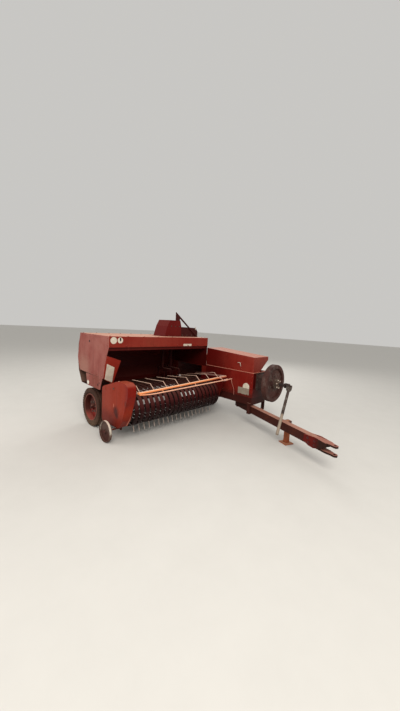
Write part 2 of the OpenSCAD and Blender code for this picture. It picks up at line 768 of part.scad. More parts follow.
module twine_box_lid() {
    color("#a02a20") {
        block([ch_x1, box_y0, lid_z + run], [ch_x1 + box_w - 2, box_y0 + box_l, lid_z + run + sheet]);
        lid_hinge() knuckles(lid_len, 7, 1);
        for (i = [1 : 2 : 6])
            block([ch_x1 + box_w - 6, box_y0 + 40 + i * lid_len / 7 + 0.5, lid_z + run],
                [ch_x1 + box_w - 0.5, box_y0 + 40 + (i + 1) * lid_len / 7 - 0.5, lid_z + 3]);
    }
}

// Density adjusters and chute
spring_x = 160;
coils = 8;
module tension_frame() {
    y = ch_y1 - 260;
    color("#5a2420") {
        for (x = [ch_x0 - 40, ch_x1])
            block([x, y, ch_z + 40], [x + 40, y + 60, ch_z1 + 120]);
        block([ch_x0 - 40, y, ch_z1 + 120], [ch_x1 + 40, y + 60, ch_z1 + 160]);
        // Screws with their cranks
        for (s = [-1, 1]) translate([ch_cx + s * spring_x, y + 30, ch_z1 + 160]) {
            cylinder(r = 26, h = 14);
            cylinder(r = 11, h = 84);
            block([-14, -14, 70], [s < 0 ? 110 : 14, 14, 80]);
            if (s > 0) block([-110, -14, 70], [0, 14, 80]);
            translate([-s * 98, 0, 79]) cylinder(r = 9, h = 70);
        }
    }
}

module tension_springs() {
    y = ch_y1 - 230;
    color("#8a8078")
        for (s = [-1, 1]) translate([ch_cx + s * spring_x, y, ch_z1]) {
            cylinder(r = 21, h = 120);
            for (z = [0, 112]) translate([0, 0, z]) cylinder(r = 32, h = 8);
            for (i = [0 : coils - 1])
                translate([0, 0, 16 + i * 88 / (coils - 1)])
                    rotate_extrude() translate([24, 0]) circle(r = 5);
        }
}

module bale_chute() {
    x0 = ch_x0 - 15;
    x1 = ch_x1 + 15;
    k = (ch_w - 20) / 7;
    color("#8e2a20") {
        block([x0, chute_y + 8, ch_z], [x1, y_rear, ch_z + sheet]);
        for (x = [x0, x1 - sheet])
            along_x(x, sheet) polygon([[chute_y + 26, ch_z], [y_rear, ch_z],
                [y_rear, ch_z + chute_h - 60], [y_rear - 80, ch_z + chute_h], [chute_y + 60, ch_z + chute_h],
                [chute_y + 26, ch_z + 60]]);
        translate([ch_x0 + 10, chute_y, chute_z]) knuckles(ch_w - 20, 7, 1);
        for (i = [1 : 2 : 6])
            block([ch_x0 + 10 + i * k + 0.5, chute_y + 5, chute_z - 3],
                [ch_x0 + 10 + (i + 1) * k - 0.5, chute_y + 12, ch_z]);
    }
}

// Drive line
module gearbox() {
    color("#4e443c") {
        y0 = house_y - front_t - box_d;
        translate([fly_x, 0, fly_z]) {
            along_y(y0, box_d) polygon(rounded([[-150, -130, 30], [150, -130, 30], [150, 90, 30],
                [105, 130, 30], [-105, 130, 30], [-150, 90, 30]]));
            // Flange on the front plate, ribs and the cap of the cross shaft
            along_y(y0 + box_d - 16, 16) polygon(rounded([[-172, -146, 24], [172, -146, 24],
                [172, 142, 24], [-172, 142, 24]]));
            for (z = [-70, 0, 70])
                block([-158, y0 + 20, z - 6], [158, y0 + box_d - 10, z + 6]);
            rod_x(150, 18, y0 + box_d / 2 - 5, 0, 62);
            rod_y(y0 - 12, 12, 0, 0, 90);
            translate([0, y0 + box_d / 2, 126]) cylinder(r = 20, h = 16);
        }
    }
}

ear_x = 30;
ear_t = 11;
ear_h = 18;
fork_l = 84;
cross_r = 10;
// Puts a piece at the cross, with X along the pin that the input fork holds
module at_cross() {
    translate([fly_x, joint_y, fly_z]) rotate([0, -line_turn, 0]) children();
}

module fork(l, turn) {
    // Two ears along Y from a round hub, bored for a pin along X
    rotate([0, turn, 0]) difference() {
        union() {
            rod_y(l - 16, 16, 0, 0, ear_x + ear_t);
            for (s = [-1, 1]) {
                x = s * (ear_x + ear_t / 2) - ear_t / 2;
                block([x, 0, -ear_h], [x + ear_t, l - 16, ear_h]);
                rod_x(x, ear_t, 0, 0, ear_h);
            }
        }
        rod_x(-60, 120, 0, 0, cross_r + fit_c);
    }
}

module input_shaft() {
    y0 = joint_y + fork_l;
    color("#6a6058") {
        rod_y(y0 - 1, gear_y0 - y0 + 1, fly_x, fly_z, shaft_r);
        at_cross() fork(fork_l, 0);
    }
}

// A piece turned about the input shaft, from sections [radius, distance in front of y].
module turned(y) {
    translate([fly_x, y, fly_z]) rotate([90, 0, 0]) rotate_extrude($fn = fine) children();
}

module flywheel() {
    b = shaft_r + fit_c;
    r = fly_r;
    t = fly_t;
    color("#4a2e24") turned(fly_y1)
        polygon([[b, 0], [88, 0], [94, t * 0.25], [r - 66, t * 0.25], [r - 60, 0], [r - 6, 0], [r, 6],
            [r, t - 6], [r - 6, t], [r - 60, t], [r - 66, t * 0.6], [94, t * 0.6], [88, t], [b, t]]);
}

clutch_r = 84;
clutch_bolts = 6;
module slip_clutch() {
    b = shaft_r + fit_c;
    d = clutch_d;
    color("#5a4a40") {
        // Plates with their linings, and the sleeve in front
        turned(fly_y0)
            polygon([[b, 0], [clutch_r, 0], [clutch_r, 12], [70, 12], [70, 18], [clutch_r, 18],
                [clutch_r, 28], [54, 28], [54, 44], [78, 44], [78, 52], [44, 52], [44, d], [b, d]]);
        // Bolts through the plates
        for (i = [0 : clutch_bolts - 1])
            translate([fly_x, fly_y0, fly_z]) rotate([90, i * 360 / clutch_bolts, 0])
                translate([66, 0, 26]) cylinder(r = 7, h = 36);
    }
}

module hanging_shaft() {
    color("#8a8078") at_cross() rotate([-line_drop, 0, 0]) {
        // Cross
        rod_x(-ear_x - ear_t, 2 * (ear_x + ear_t), 0, 0, cross_r);
        translate([0, 0, -ear_x - ear_t]) cylinder(r = cross_r, h = 2 * (ear_x + ear_t));
        rod_y(-20, 40, 0, 0, 20);
        // Fork, tube and inner bar
        rotate([180, 0, 0]) difference() {
            fork(fork_l, 90);
            translate([0, 0, -60]) cylinder(r = cross_r - 1, h = 120);
        }
        rod_y(-tube_l, tube_l + 1 - fork_l, 0, 0, line_r);
        rod_y(-line_l, line_l - tube_l, 0, 0, bar_in_r);
    }
}

// Drawbar
module on_drawbar() {
    translate([piv_x, dpiv_y, 0]) rotate([0, 0, -db_a]) children();
}

sleeve_t = 8;
module drawbar() {
    x1 = db_w / 2 + post + 2 * sleeve_t;
    color("#a3261c") on_drawbar() difference() {
        union() {
            translate([0, 0, db_z]) cylinder(r = db_w / 2, h = db_h);
            block([-db_w / 2, -db_len + 260, db_z], [db_w / 2, 0, db_top]);
            // Sleeve of the stand
            block([db_w / 2, -stand_s - post / 2 - sleeve_t, db_z],
                [x1, -stand_s + post / 2 + sleeve_t, db_top]);
        }
        translate([0, 0, db_z - 1]) cylinder(r = pin_r + run, h = db_h + 2);
        block([db_w / 2 + sleeve_t - run, -stand_s - post / 2 - run, db_z - 1],
            [x1 - sleeve_t + run, -stand_s + post / 2 + run, db_top + 1]);
    }
}

jaw_l = 260;
jaw_t = 24;
jaw_out = 6;
cheek_t = 10;
module hitch_jaw() {
    color("#7a2018") on_drawbar() difference() {
        union() {
            // Upper and lower jaw plates
            for (z = [db_z - jaw_out, db_top + jaw_out - jaw_t]) translate([0, 0, z])
                linear_extrude(jaw_t) union() {
                    polygon([[-db_w / 2, jaw_l - db_len], [-db_w / 2, 90 - db_len], [-jaw_r, 30 - db_len],
                        [-jaw_r, -db_len], [jaw_r, -db_len], [jaw_r, 30 - db_len],
                        [db_w / 2, 90 - db_len], [db_w / 2, jaw_l - db_len]]);
                    translate([0, -db_len]) circle(r = jaw_r);
                }
            // Cheek plates on the beam's sides
            for (x = [-db_w / 2 - cheek_t, db_w / 2]) along_x(x, cheek_t)
                polygon([for (p = [[430, 22, 0], [420, -8, 1], [250, 14, 1], [80, 2, 1], [76, -46, 1],
                    [195, 6, 0], [265, -14, 0], [335, -12, 0]])
                    [p[0] - db_len, p[1] + (p[2] > 0 ? db_top : db_z)]]);
        }
        translate([0, 0, db_z - jaw_out - 1]) translate([0, -db_len, 0])
            cylinder(r = pin_r, h = db_h + 2 * jaw_out + 2);
    }
}

foot = 76;
foot_t = 12;
module stand_post() {
    x0 = db_w / 2 + sleeve_t;
    color("#c2401c") on_drawbar() {
        block([x0, -stand_s - post / 2, foot_t], [x0 + post, -stand_s + post / 2, db_top - 4]);
        block([x0 + post / 2 - foot, -stand_s - foot, 0], [x0 + post / 2 + foot, -stand_s + foot, foot_t]);
    }
}

// Wheels
module tyre(r, w, rim) {
    rotate([0, 90, 0]) rotate_extrude($fn = fine) polygon(rounded([[rim, w * 0.12, 0], [r * 0.8, 0, 20],
        [r * 0.9, 0, 20], [r, w * 0.12, 14], [r, w * 0.88, 14], [r * 0.9, w, 20], [r * 0.8, w, 20],
        [rim, w * 0.88, 0]]));
}

// A rim's section [radius, depth], with its dish towards depth 0, mirrored by side = -1
module rim(w, r, side) {
    b = spindle_r + fit_c;
    p = concat(
        // Barrel with its lips
        [[r + 9, 5], [r + 9, 11], [r, 17], [r, w - 17], [r + 9, w - 11], [r + 9, w - 5], [r - 3, w - 5],
            [r - 5, w - 20]],
        // Disc and hub
        [[r - 6, w * 0.62], [r * 0.8, w * 0.5], [r * 0.55, w * 0.38 + 6], [hub_r, w * 0.38 + 6],
            [hub_r, w * (1 - hub_in)], [b, w * (1 - hub_in)], [b, w * hub_in], [hub_r, w * hub_in],
            [hub_r, w * 0.38], [r * 0.55, w * 0.38], [r * 0.8, w * 0.5 - 6], [r - 6, w * 0.62 - 8]],
        [[r - 5, 20], [r - 3, 5]]);
    rotate([0, 90, 0]) rotate_extrude($fn = fine)
        polygon([for (q = p) [q[0], side > 0 ? q[1] : w - q[1]]]);
}

rim_part_r = 0.66;
rim_part_l = 0.6;
module right_tyre() {
    color("#2a2826") translate([tyre_r_x, axle_y, tyre_r_rad])
        tyre(tyre_r_rad, tyre_r_w, tyre_r_rad * rim_part_r);
}
module right_rim() {
    color("#8e2a22") translate([tyre_r_x, axle_y, tyre_r_rad])
        rim(tyre_r_w, tyre_r_rad * rim_part_r, 1);
}
module left_tyre() {
    color("#2a2826") translate([tyre_l_x, axle_y, tyre_l_rad])
        tyre(tyre_l_rad, tyre_l_w, tyre_l_rad * rim_part_l);
}
module left_rim() {
    color("#8e2a22") translate([tyre_l_x, axle_y, tyre_l_rad])
        rim(tyre_l_w, tyre_l_rad * rim_part_l, -1);
}

// Pickup
// Front and lower edge of the pickup's ends, measured from the reel's shaft
end_front = [[-312, 270], [-184, -91]];
end_under = [[-100, -208], [20, -222]];
strip_top = reel_z + strip_r;
strip_bot = reel_z - strip_r;
strip_y1 = reel_y + tip_r + 55;
module plate_outline() {
    polygon(rounded(concat([for (p = concat(end_front, end_under)) [reel_y + p[0], reel_z + p[1], 60]],
        [[strip_y1 + 4, strip_bot, 10], [piv_y + 40, piv_z - 60, 30], [piv_y + 40, piv_z + 45, 30],
        [strip_y1 + 4, strip_top, 10], [guard_piv_y + 35, strip_top, 20],
        [guard_piv_y + 35, guard_piv_z + 30, 30], [guard_piv_y - 40, guard_piv_z + 30, 30],
        [guard_piv_y - 90, reel_z + 250, 30]])));
}

module pickup_frame() {
    color("#9a241c") {
        difference() {
            for (x = [pk_x0, pk_x1 - plate_t]) along_x(x, plate_t) plate_outline();
            for (x = [pk_x0, pk_x1 - plate_t])
                rod_x(x - 1, plate_t + 2, reel_y, reel_z, reel_shaft + 0.1);
        }
        // Pins of the windguard
        rod_x(pk_x0 + plate_t, 20, guard_piv_y, guard_piv_z, guard_pin);
        rod_x(pk_x1 - plate_t - 20, 20, guard_piv_y, guard_piv_z, guard_pin);
        // Hinge shaft between the plates
        rod_x(pk_x0 + plate_t, pk_x1 - pk_x0 - 2 * plate_t, piv_y, piv_z, hinge_r);
        // Stub axle of the gauge wheel, on a lug of the right plate
        along_x(pk_x0, plate_t) polygon(rounded([[reel_y + 130, reel_z - 200, 0],
            [reel_y + 30, reel_z - 200, 0], [reel_y + 45, gauge_rad - 35, 25],
            [reel_y + 115, gauge_rad - 35, 25]]));
        rod_x(x_right + 2, pk_x0 - x_right - 2, reel_y + 80, gauge_rad, gauge_pin);
    }
}

tines = floor((pk_x1 - pk_x0 - 2 * plate_t - 2 * pk_clear - strip_w) / tine_pitch);
tine_x0 = (pk_x0 + pk_x1) / 2 - (tines - 1) * tine_pitch / 2;
module stripper_line() {
    difference() {
        union() {
            translate([reel_y, reel_z]) circle(r = strip_r, $fn = fine);
            translate([reel_y, strip_bot]) square([strip_y1 - reel_y, 2 * strip_r]);
        }
        translate([reel_y, reel_z]) circle(r = strip_r - 4, $fn = fine);
        translate([reel_y, strip_bot + 4]) square([strip_y1 - reel_y + 1, 2 * strip_r - 8]);
    }
}

module strippers() {
    color("#7c1e1a") {
        for (i = [0 : tines])
            along_x(tine_x0 + (i - 0.5) * tine_pitch - strip_w / 2, strip_w) stripper_line();
        // Bars that carry them, from plate to plate
        for (z = [strip_bot + 2, strip_top - 38])
            block([pk_x0 + plate_t, strip_y1 - 30, z], [pk_x1 - plate_t, strip_y1, z + 36]);
    }
}

module pickup_shield() {
    color("#d43c1e") difference() {
        along_x(panel_x - 12, shield_d) shield_outline(0);
        along_x(panel_x - 12 + sheet, shield_d) shield_outline(sheet);
    }
}
module shield_outline(k) {
    polygon(rounded(concat([[reel_y + 400 - k, reel_z + 285 - k, 60], [reel_y - 40, reel_z + 432 - k, 60],
        [reel_y - 230, reel_z + 440 - k, 40], [reel_y - 315 + k, reel_z + 400 - k, 60]],
        [for (p = end_front) [reel_y + p[0] + k, reel_z + p[1], 60]],
        [for (p = end_under) [reel_y + p[0], reel_z + p[1] + k, 60]],
        [[reel_y + 400 - k, reel_z - 230 + k, 60]])));
}

module pickup_reel() {
    color("#6a5a50") {
        rod_x(pk_x0 - 30, pk_x1 - pk_x0 + 40, reel_y, reel_z, reel_shaft);
        x0 = pk_x0 + plate_t + pk_clear;
        x1 = pk_x1 - plate_t - pk_clear;
        for (x = [x0, (x0 + x1) / 2 - 6, x1 - 12])
            rod_x(x, 12, reel_y, reel_z, bar_circle + 20);
        for (b = [0 : bars - 1]) translate([0, reel_y, reel_z]) rotate([b * 360 / bars, 0, 0]) {
            rod_x(x0, x1 - x0, -bar_circle, 0, bar_r);
            for (i = [0 : tines - 1]) translate([tine_x0 + i * tine_pitch, 0, 0])
                rod_to([0, -bar_circle, 0], [0, -tip_r, 0], tine_r);
        }
    }
}

gauge_pin = 12;
module gauge_wheel() {
    // Rolled rim, thin disc and hub
    b = gauge_pin + fit_c;
    g = gauge_rad;
    w = gauge_w;
    color("#d8d2c4") translate([x_right, reel_y + 80, g]) rotate([0, 90, 0]) rotate_extrude($fn = fine)
        polygon([[b, w * 0.1], [32, w * 0.1], [32, w * 0.5], [g - 15, w * 0.55], [g - 12, w * 0.08],
            [g - 4, 0], [g, 4], [g, w - 4], [g - 4, w], [g - 12, w * 0.92], [g - 15, w * 0.68],
            [32, w * 0.63], [32, w * 0.9], [b, w * 0.9]]);
}

guard_z0 = 742;
guard_z1 = 800;
arm_w = 28;
arm_x0 = pk_x0 + plate_t + 6;
arm_x1 = pk_x1 - plate_t - 14;
module guard_arm(x, z) {
    // A flat bar from the tube back to the pin
    v = unit([guard_piv_y - guard_y, guard_piv_z - z]) * arm_w / 2;
    difference() {
        union() {
            along_x(x, 8) polygon([[guard_y - v[1], z + v[0]], [guard_y + v[1], z - v[0]],
                [guard_piv_y + v[1], guard_piv_z - v[0]], [guard_piv_y - v[1], guard_piv_z + v[0]]]);
            rod_x(x, 8, guard_piv_y, guard_piv_z, guard_pin + 12);
        }
        rod_x(x - 1, 10, guard_piv_y, guard_piv_z, guard_pin + run);
    }
}

module windguard() {
    color("#d24a20") {
        rod_to([arm_x0, guard_y, guard_z0], [arm_x1 + 8, guard_y, guard_z1], guard_r);
        guard_arm(arm_x0, guard_z0);
        guard_arm(arm_x1, guard_z1);
        for (i = [0 : rods - 1]) {
            t = (i + 0.1) / rods;
            x = arm_x0 + (arm_x1 - arm_x0) * t;
            z = guard_z0 + (guard_z1 - guard_z0) * t;
            bent_rod(x, [guard_y, z], [guard_y + 100, z + 80], [guard_end_y, 800], rod_r);
        }
        hold_down();
    }
}

// Thin rod in front of the tube on hangers, with its clamp and the wire that hangs from it
rail_a = [arm_x0 + 311, guard_y - 20, guard_z0 - 30];
rail_b = [ch_x0 - 35, guard_y - 80, guard_z0 + 21];
rail_r = 8;
module hold_down() {
    rod_to(rail_a, rail_b, rail_r);
    for (t = [0.05, 0.45, 0.85]) {
        p = rail_a + (rail_b - rail_a) * t;
        z = guard_z0 + (p[0] - arm_x0) / (arm_x1 + 8 - arm_x0) * (guard_z1 - guard_z0);
        rod_to(p, [p[0], guard_y, z], 5);
    }
    rod_to(rail_a + (rail_b - rail_a) * 0.9, rail_a + (rail_b - rail_a) * 0.92, 16);
    x = ch_x0 - 22;
    wire = [rail_b - [25, 0, 0], [x, guard_y - 78, guard_z0 - 69],
        [x, guard_y - 127, guard_z0 - 163], [x, guard_y - 132, guard_z0 - 266]];
    for (i = [0 : 2]) rod_to(wire[i], wire[i + 1], 4 - i * 0.4);
}

main_frame();
bale_chamber();
plunger_housing();
housing_cover();
plunger();
feeder_floor();
feeder_rear_wall();
feeder_hood();
end_panel();
lower_end_panel();
reflector();
wing_plate();
packer_cover();
packer_drive();
packer_forks();
knotter_stand();
knotters();
knotter_cover();
metering_wheel();
needle_frame();
twine_box();
twine_box_lid();
tension_frame();
tension_springs();
bale_chute();
gearbox();
input_shaft();
flywheel();
slip_clutch();
hanging_shaft();
drawbar();
hitch_jaw();
stand_post();
right_tyre();
right_rim();
left_tyre();
left_rim();
pickup_frame();
strippers();
pickup_shield();
pickup_reel();
gauge_wheel();
windguard();
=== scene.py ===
"""Looks of a pulled square baler: weathered paint, fasteners, tread and a plain studio."""
import json
import logging
import math
from dataclasses import asdict, dataclass
from enum import Enum

import bmesh
import bpy
from mathutils import Matrix, Vector
from mathutils.bvhtree import BVHTree


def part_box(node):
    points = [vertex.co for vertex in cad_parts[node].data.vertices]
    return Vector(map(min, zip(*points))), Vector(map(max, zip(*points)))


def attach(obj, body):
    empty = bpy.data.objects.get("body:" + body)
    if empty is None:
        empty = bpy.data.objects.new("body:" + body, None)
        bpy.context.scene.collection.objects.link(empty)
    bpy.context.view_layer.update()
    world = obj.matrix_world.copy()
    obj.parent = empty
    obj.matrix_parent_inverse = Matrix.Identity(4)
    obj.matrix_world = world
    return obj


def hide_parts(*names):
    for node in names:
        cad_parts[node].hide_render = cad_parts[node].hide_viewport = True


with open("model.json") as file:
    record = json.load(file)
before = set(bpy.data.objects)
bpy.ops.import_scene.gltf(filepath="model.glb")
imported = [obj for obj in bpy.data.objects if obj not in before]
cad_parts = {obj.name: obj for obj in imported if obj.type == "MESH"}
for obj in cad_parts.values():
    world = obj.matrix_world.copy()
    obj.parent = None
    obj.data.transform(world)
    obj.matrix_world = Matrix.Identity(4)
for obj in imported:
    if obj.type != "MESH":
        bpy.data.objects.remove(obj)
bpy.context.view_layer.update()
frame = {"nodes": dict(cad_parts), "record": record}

LOG = logging.getLogger("baler")
Color = tuple[float, float, float]
Point = tuple[float, float, float]
Pair = tuple[float, float]
Places = list[tuple[Vector, Vector]]
FULL_TURN = 2 * math.pi

BACK: Point = (0.0, 1.0, 0.0)
FRONT: Point = (0.0, -1.0, 0.0)
UP: Point = (0.0, 0.0, 1.0)
DOWN: Point = (0.0, 0.0, -1.0)
INWARD: Point = (1.0, 0.0, 0.0)
OUTWARD: Point = (-1.0, 0.0, 0.0)
AROUND_X: Point = (0.0, 1.0, 1.0)


def lin(color: Color) -> Color:
    """Turns a display colour into a linear one, by the sRGB curve.

    Args:
        color: Display values from 0 to 1.

    Returns:
        The linear colour.
    """
    return tuple(c / 12.92 if c <= 0.04045 else ((c + 0.055) / 1.055) ** 2.4 for c in color)


# ---- Node trees

class Val:
    """A number or vector socket of a node tree, with arithmetic on it."""

    def __init__(self, tree: "Graph", socket: bpy.types.NodeSocket) -> None:
        """Keeps the socket with its tree."""
        self.tree = tree
        self.socket = socket

    def __add__(self, other: "Val | float") -> "Val":
        """Sum."""
        return self.tree.math("ADD", self, other)

    __radd__ = __add__

    def __mul__(self, other: "Val | float") -> "Val":
        """Product."""
        return self.tree.math("MULTIPLY", self, other)

    def __sub__(self, other: "Val | float") -> "Val":
        """Difference."""
        return self.tree.math("SUBTRACT", self, other)

    def __rsub__(self, other: float) -> "Val":
        """A number less this value."""
        return self.tree.math("SUBTRACT", other, self)

    def clamp(self) -> "Val":
        """This value held between 0 and 1."""
        return self.tree.math("ADD", self, 0.0, clamp=True)

    def step(self, low: float, high: float) -> "Val":
        """A smooth rise from 0 at low to 1 at high."""
        return self.tree.out("ShaderNodeMapRange", {"interpolation_type": "SMOOTHSTEP"},
                             {"Value": self, "From Min": low, "From Max": high}, "Result")


class Graph:
    """A node tree that nodes are added to."""

    def __init__(self, tree: bpy.types.NodeTree) -> None:
        """Keeps the tree."""
        self.tree = tree

    def node(self, kind: str, settings: dict[str, object],
             values: dict[str | int, object]) -> bpy.types.Node:
        """Adds a node.

        Args:
            kind: The node's type.
            settings: Its own settings, set before its sockets.
            values: What each input socket takes, a value or a link.

        Returns:
            The node.
        """
        made = self.tree.nodes.new(kind)
        for key, value in settings.items():
            setattr(made, key, value)
        for key, value in values.items():
            socket = made.inputs[key]
            if isinstance(value, Val):
                self.tree.links.new(value.socket, socket)
            else:
                socket.default_value = value
        return made

    def out(self, kind: str, settings: dict[str, object], values: dict[str | int, object],
            output: str | int = 0) -> Val:
        """Adds a node and returns one of its outputs."""
        return Val(self, self.node(kind, settings, values).outputs[output])

    def math(self, operation: str, a: object, b: object, clamp: bool = False) -> Val:
        """Adds a Math node on two values."""
        return self.out("ShaderNodeMath", {"operation": operation, "use_clamp": clamp},
                        {0: a, 1: b})

    def vectors(self, operation: str, a: object, b: object, output: str | int = 0) -> Val:
        """Adds a Vector Math node on two vectors."""
        return self.out("ShaderNodeVectorMath", {"operation": operation}, {0: a, 1: b}, output)


class Shader(Graph):
    """The node tree of one material."""

    # The Mix node's colour sockets: two inputs and the output.
    MIX_A, MIX_B, MIXED = 6, 7, 2

    def __init__(self, name: str) -> None:
        """Starts an empty material.

        Args:
            name: The material's name.
        """
        self.material = bpy.data.materials.new(name)
        self.material.use_nodes = True
        super().__init__(self.material.node_tree)
        self.tree.nodes.clear()
        self._place: Val | None = None

    def place(self) -> Val:
        """The point in the object's own coordinates, in metres."""
        if self._place is None:
            self._place = self.out("ShaderNodeTexCoord", {}, {}, "Object")
        return self._place

    def axis(self, name: str) -> Val:
        """One coordinate of the point, by its letter."""
        return self.out("ShaderNodeSeparateXYZ", {}, {0: self.place()}, name)

    def facing(self, name: str) -> Val:
        """How far the surface faces along an axis, from -1 to 1."""
        normal = self.out("ShaderNodeNewGeometry", {}, {}, "True Normal")
        return self.out("ShaderNodeSeparateXYZ", {}, {0: normal}, name)

    def noise(self, scale: float, detail: float = 4.0, rough: float = 0.55,
              stretch: Point = (1, 1, 1), offset: Point = (0, 0, 0)) -> Val:
        """A noise value about 0.5.

        Args:
            scale: Its fineness, in waves per metre.
            detail: Its octaves.
            rough: How strong the fine octaves are.
            stretch: A factor on each axis.
            offset: A shift of the pattern.

        Returns:
            The value.
        """
        mapped = self.out("ShaderNodeMapping", {},
                          {"Vector": self.place(), "Scale": stretch, "Location": offset})
        return self.out("ShaderNodeTexNoise", {"noise_dimensions": "3D"},
                        {"Vector": mapped, "Scale": scale, "Detail": detail, "Roughness": rough})

    def mix(self, factor: object, a: "Val | Color", b: "Val | Color") -> Val:
        """Mixes two colours, linear ones or links: a factor of 0 gives a and 1 gives b."""
        a, b = (c if isinstance(c, Val) else (*c, 1.0) for c in (a, b))
        return self.out("ShaderNodeMix", {"data_type": "RGBA", "clamp_factor": True},
                        {0: factor, self.MIX_A: a, self.MIX_B: b}, self.MIXED)

    def bump(self, height: Val, strength: float, distance: float, below: Val | None = None) -> Val:
        """A normal from a height.

        Args:
            height: The height value.
            strength: The bump's strength.
            distance: The height of 1, in metres.
            below: A normal that the bump lies on.

        Returns:
            The normal.
        """
        values: dict[str | int, object] = {
            "Height": height, "Strength": strength, "Distance": distance}
        if below is not None:
            values["Normal"] = below
        return self.out("ShaderNodeBump", {}, values, "Normal")

    def finish(self, fixed: dict[str, float], **links: object) -> bpy.types.Material:
        """Adds the surface shader and ends the tree.

        Args:
            fixed: Numbers set on the shader's own sockets.
            links: What feeds Base_Color, Roughness, Metallic, Normal and the like.

        Returns:
            The material.
        """
        linked = {key.replace("_", " "): value for key, value in links.items()}
        surface = self.out("ShaderNodeBsdfPrincipled", {}, {**fixed, **linked})
        self.node("ShaderNodeOutputMaterial", {}, {"Surface": surface})
        return self.material


# ---- Finishes: their colours are display colours

RUST_DARK: Color = (0.20, 0.10, 0.07)
RUST_WARM: Color = (0.42, 0.20, 0.11)
DUST: Color = (0.55, 0.45, 0.36)
# Painted shade: the colour that faces turned inward are darkened towards.
SHADE_AND_MARK: Color = (0.235, 0.030, 0.024)
WORN_METAL: Color = (0.62, 0.59, 0.55)
SHEEN = {"Specular IOR Level": 0.14}


def middle(node: str) -> Point:
    """The middle of a CAD node, in metres."""
    low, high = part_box(node)
    return tuple((low + high) / 2)


def pivot(body: str) -> Point:
    """Where the joint of a body lies, in metres."""
    joints = frame["record"]["behaviour"]["joints"]
    return next(tuple(joint["pos_m"]) for joint in joints if joint["child"] == body)


@dataclass(frozen=True)
class Tint:
    """A soft-edged zone of a piece in another tone: a real tone, painted light or painted shade.

    The zone grows from nothing where its reach is at start to its whole amount where it is at end,
    and an end below the start puts it round the centre. Noise makes its edge ragged.
    """

    color: Color
    amount: float
    centre: Point
    weights: Point
    start: float
    end: float

    def reach(self, s: Shader, away: Val) -> Val:
        """How far out a point is, from its place relative to the centre."""
        raise NotImplementedError

    def over(self, s: Shader, color: Val) -> Val:
        """The colour with the zone mixed in."""
        reach = self.reach(s, s.vectors("SUBTRACT", s.place(), self.centre))
        reach = reach + (s.noise(30.0, 4.0, 0.7) - 0.5) * (self.end - self.start)
        return s.mix(reach.step(self.start, self.end) * self.amount, color, lin(self.color))


@dataclass(frozen=True)
class Spot(Tint):
    """A zone by the distance from the centre; weights say how much each axis counts."""

    def reach(self, s: Shader, away: Val) -> Val:
        """The weighted distance."""
        scaled = s.vectors("MULTIPLY", away, self.weights)
        return s.out("ShaderNodeVectorMath", {"operation": "LENGTH"}, {0: scaled}, "Value")


@dataclass(frozen=True)
class Side(Tint):
    """A zone on the side of the centre that the weights point to."""

    def reach(self, s: Shader, away: Val) -> Val:
        """The distance along the weights."""
        return s.vectors("DOT_PRODUCT", away, self.weights, "Value")


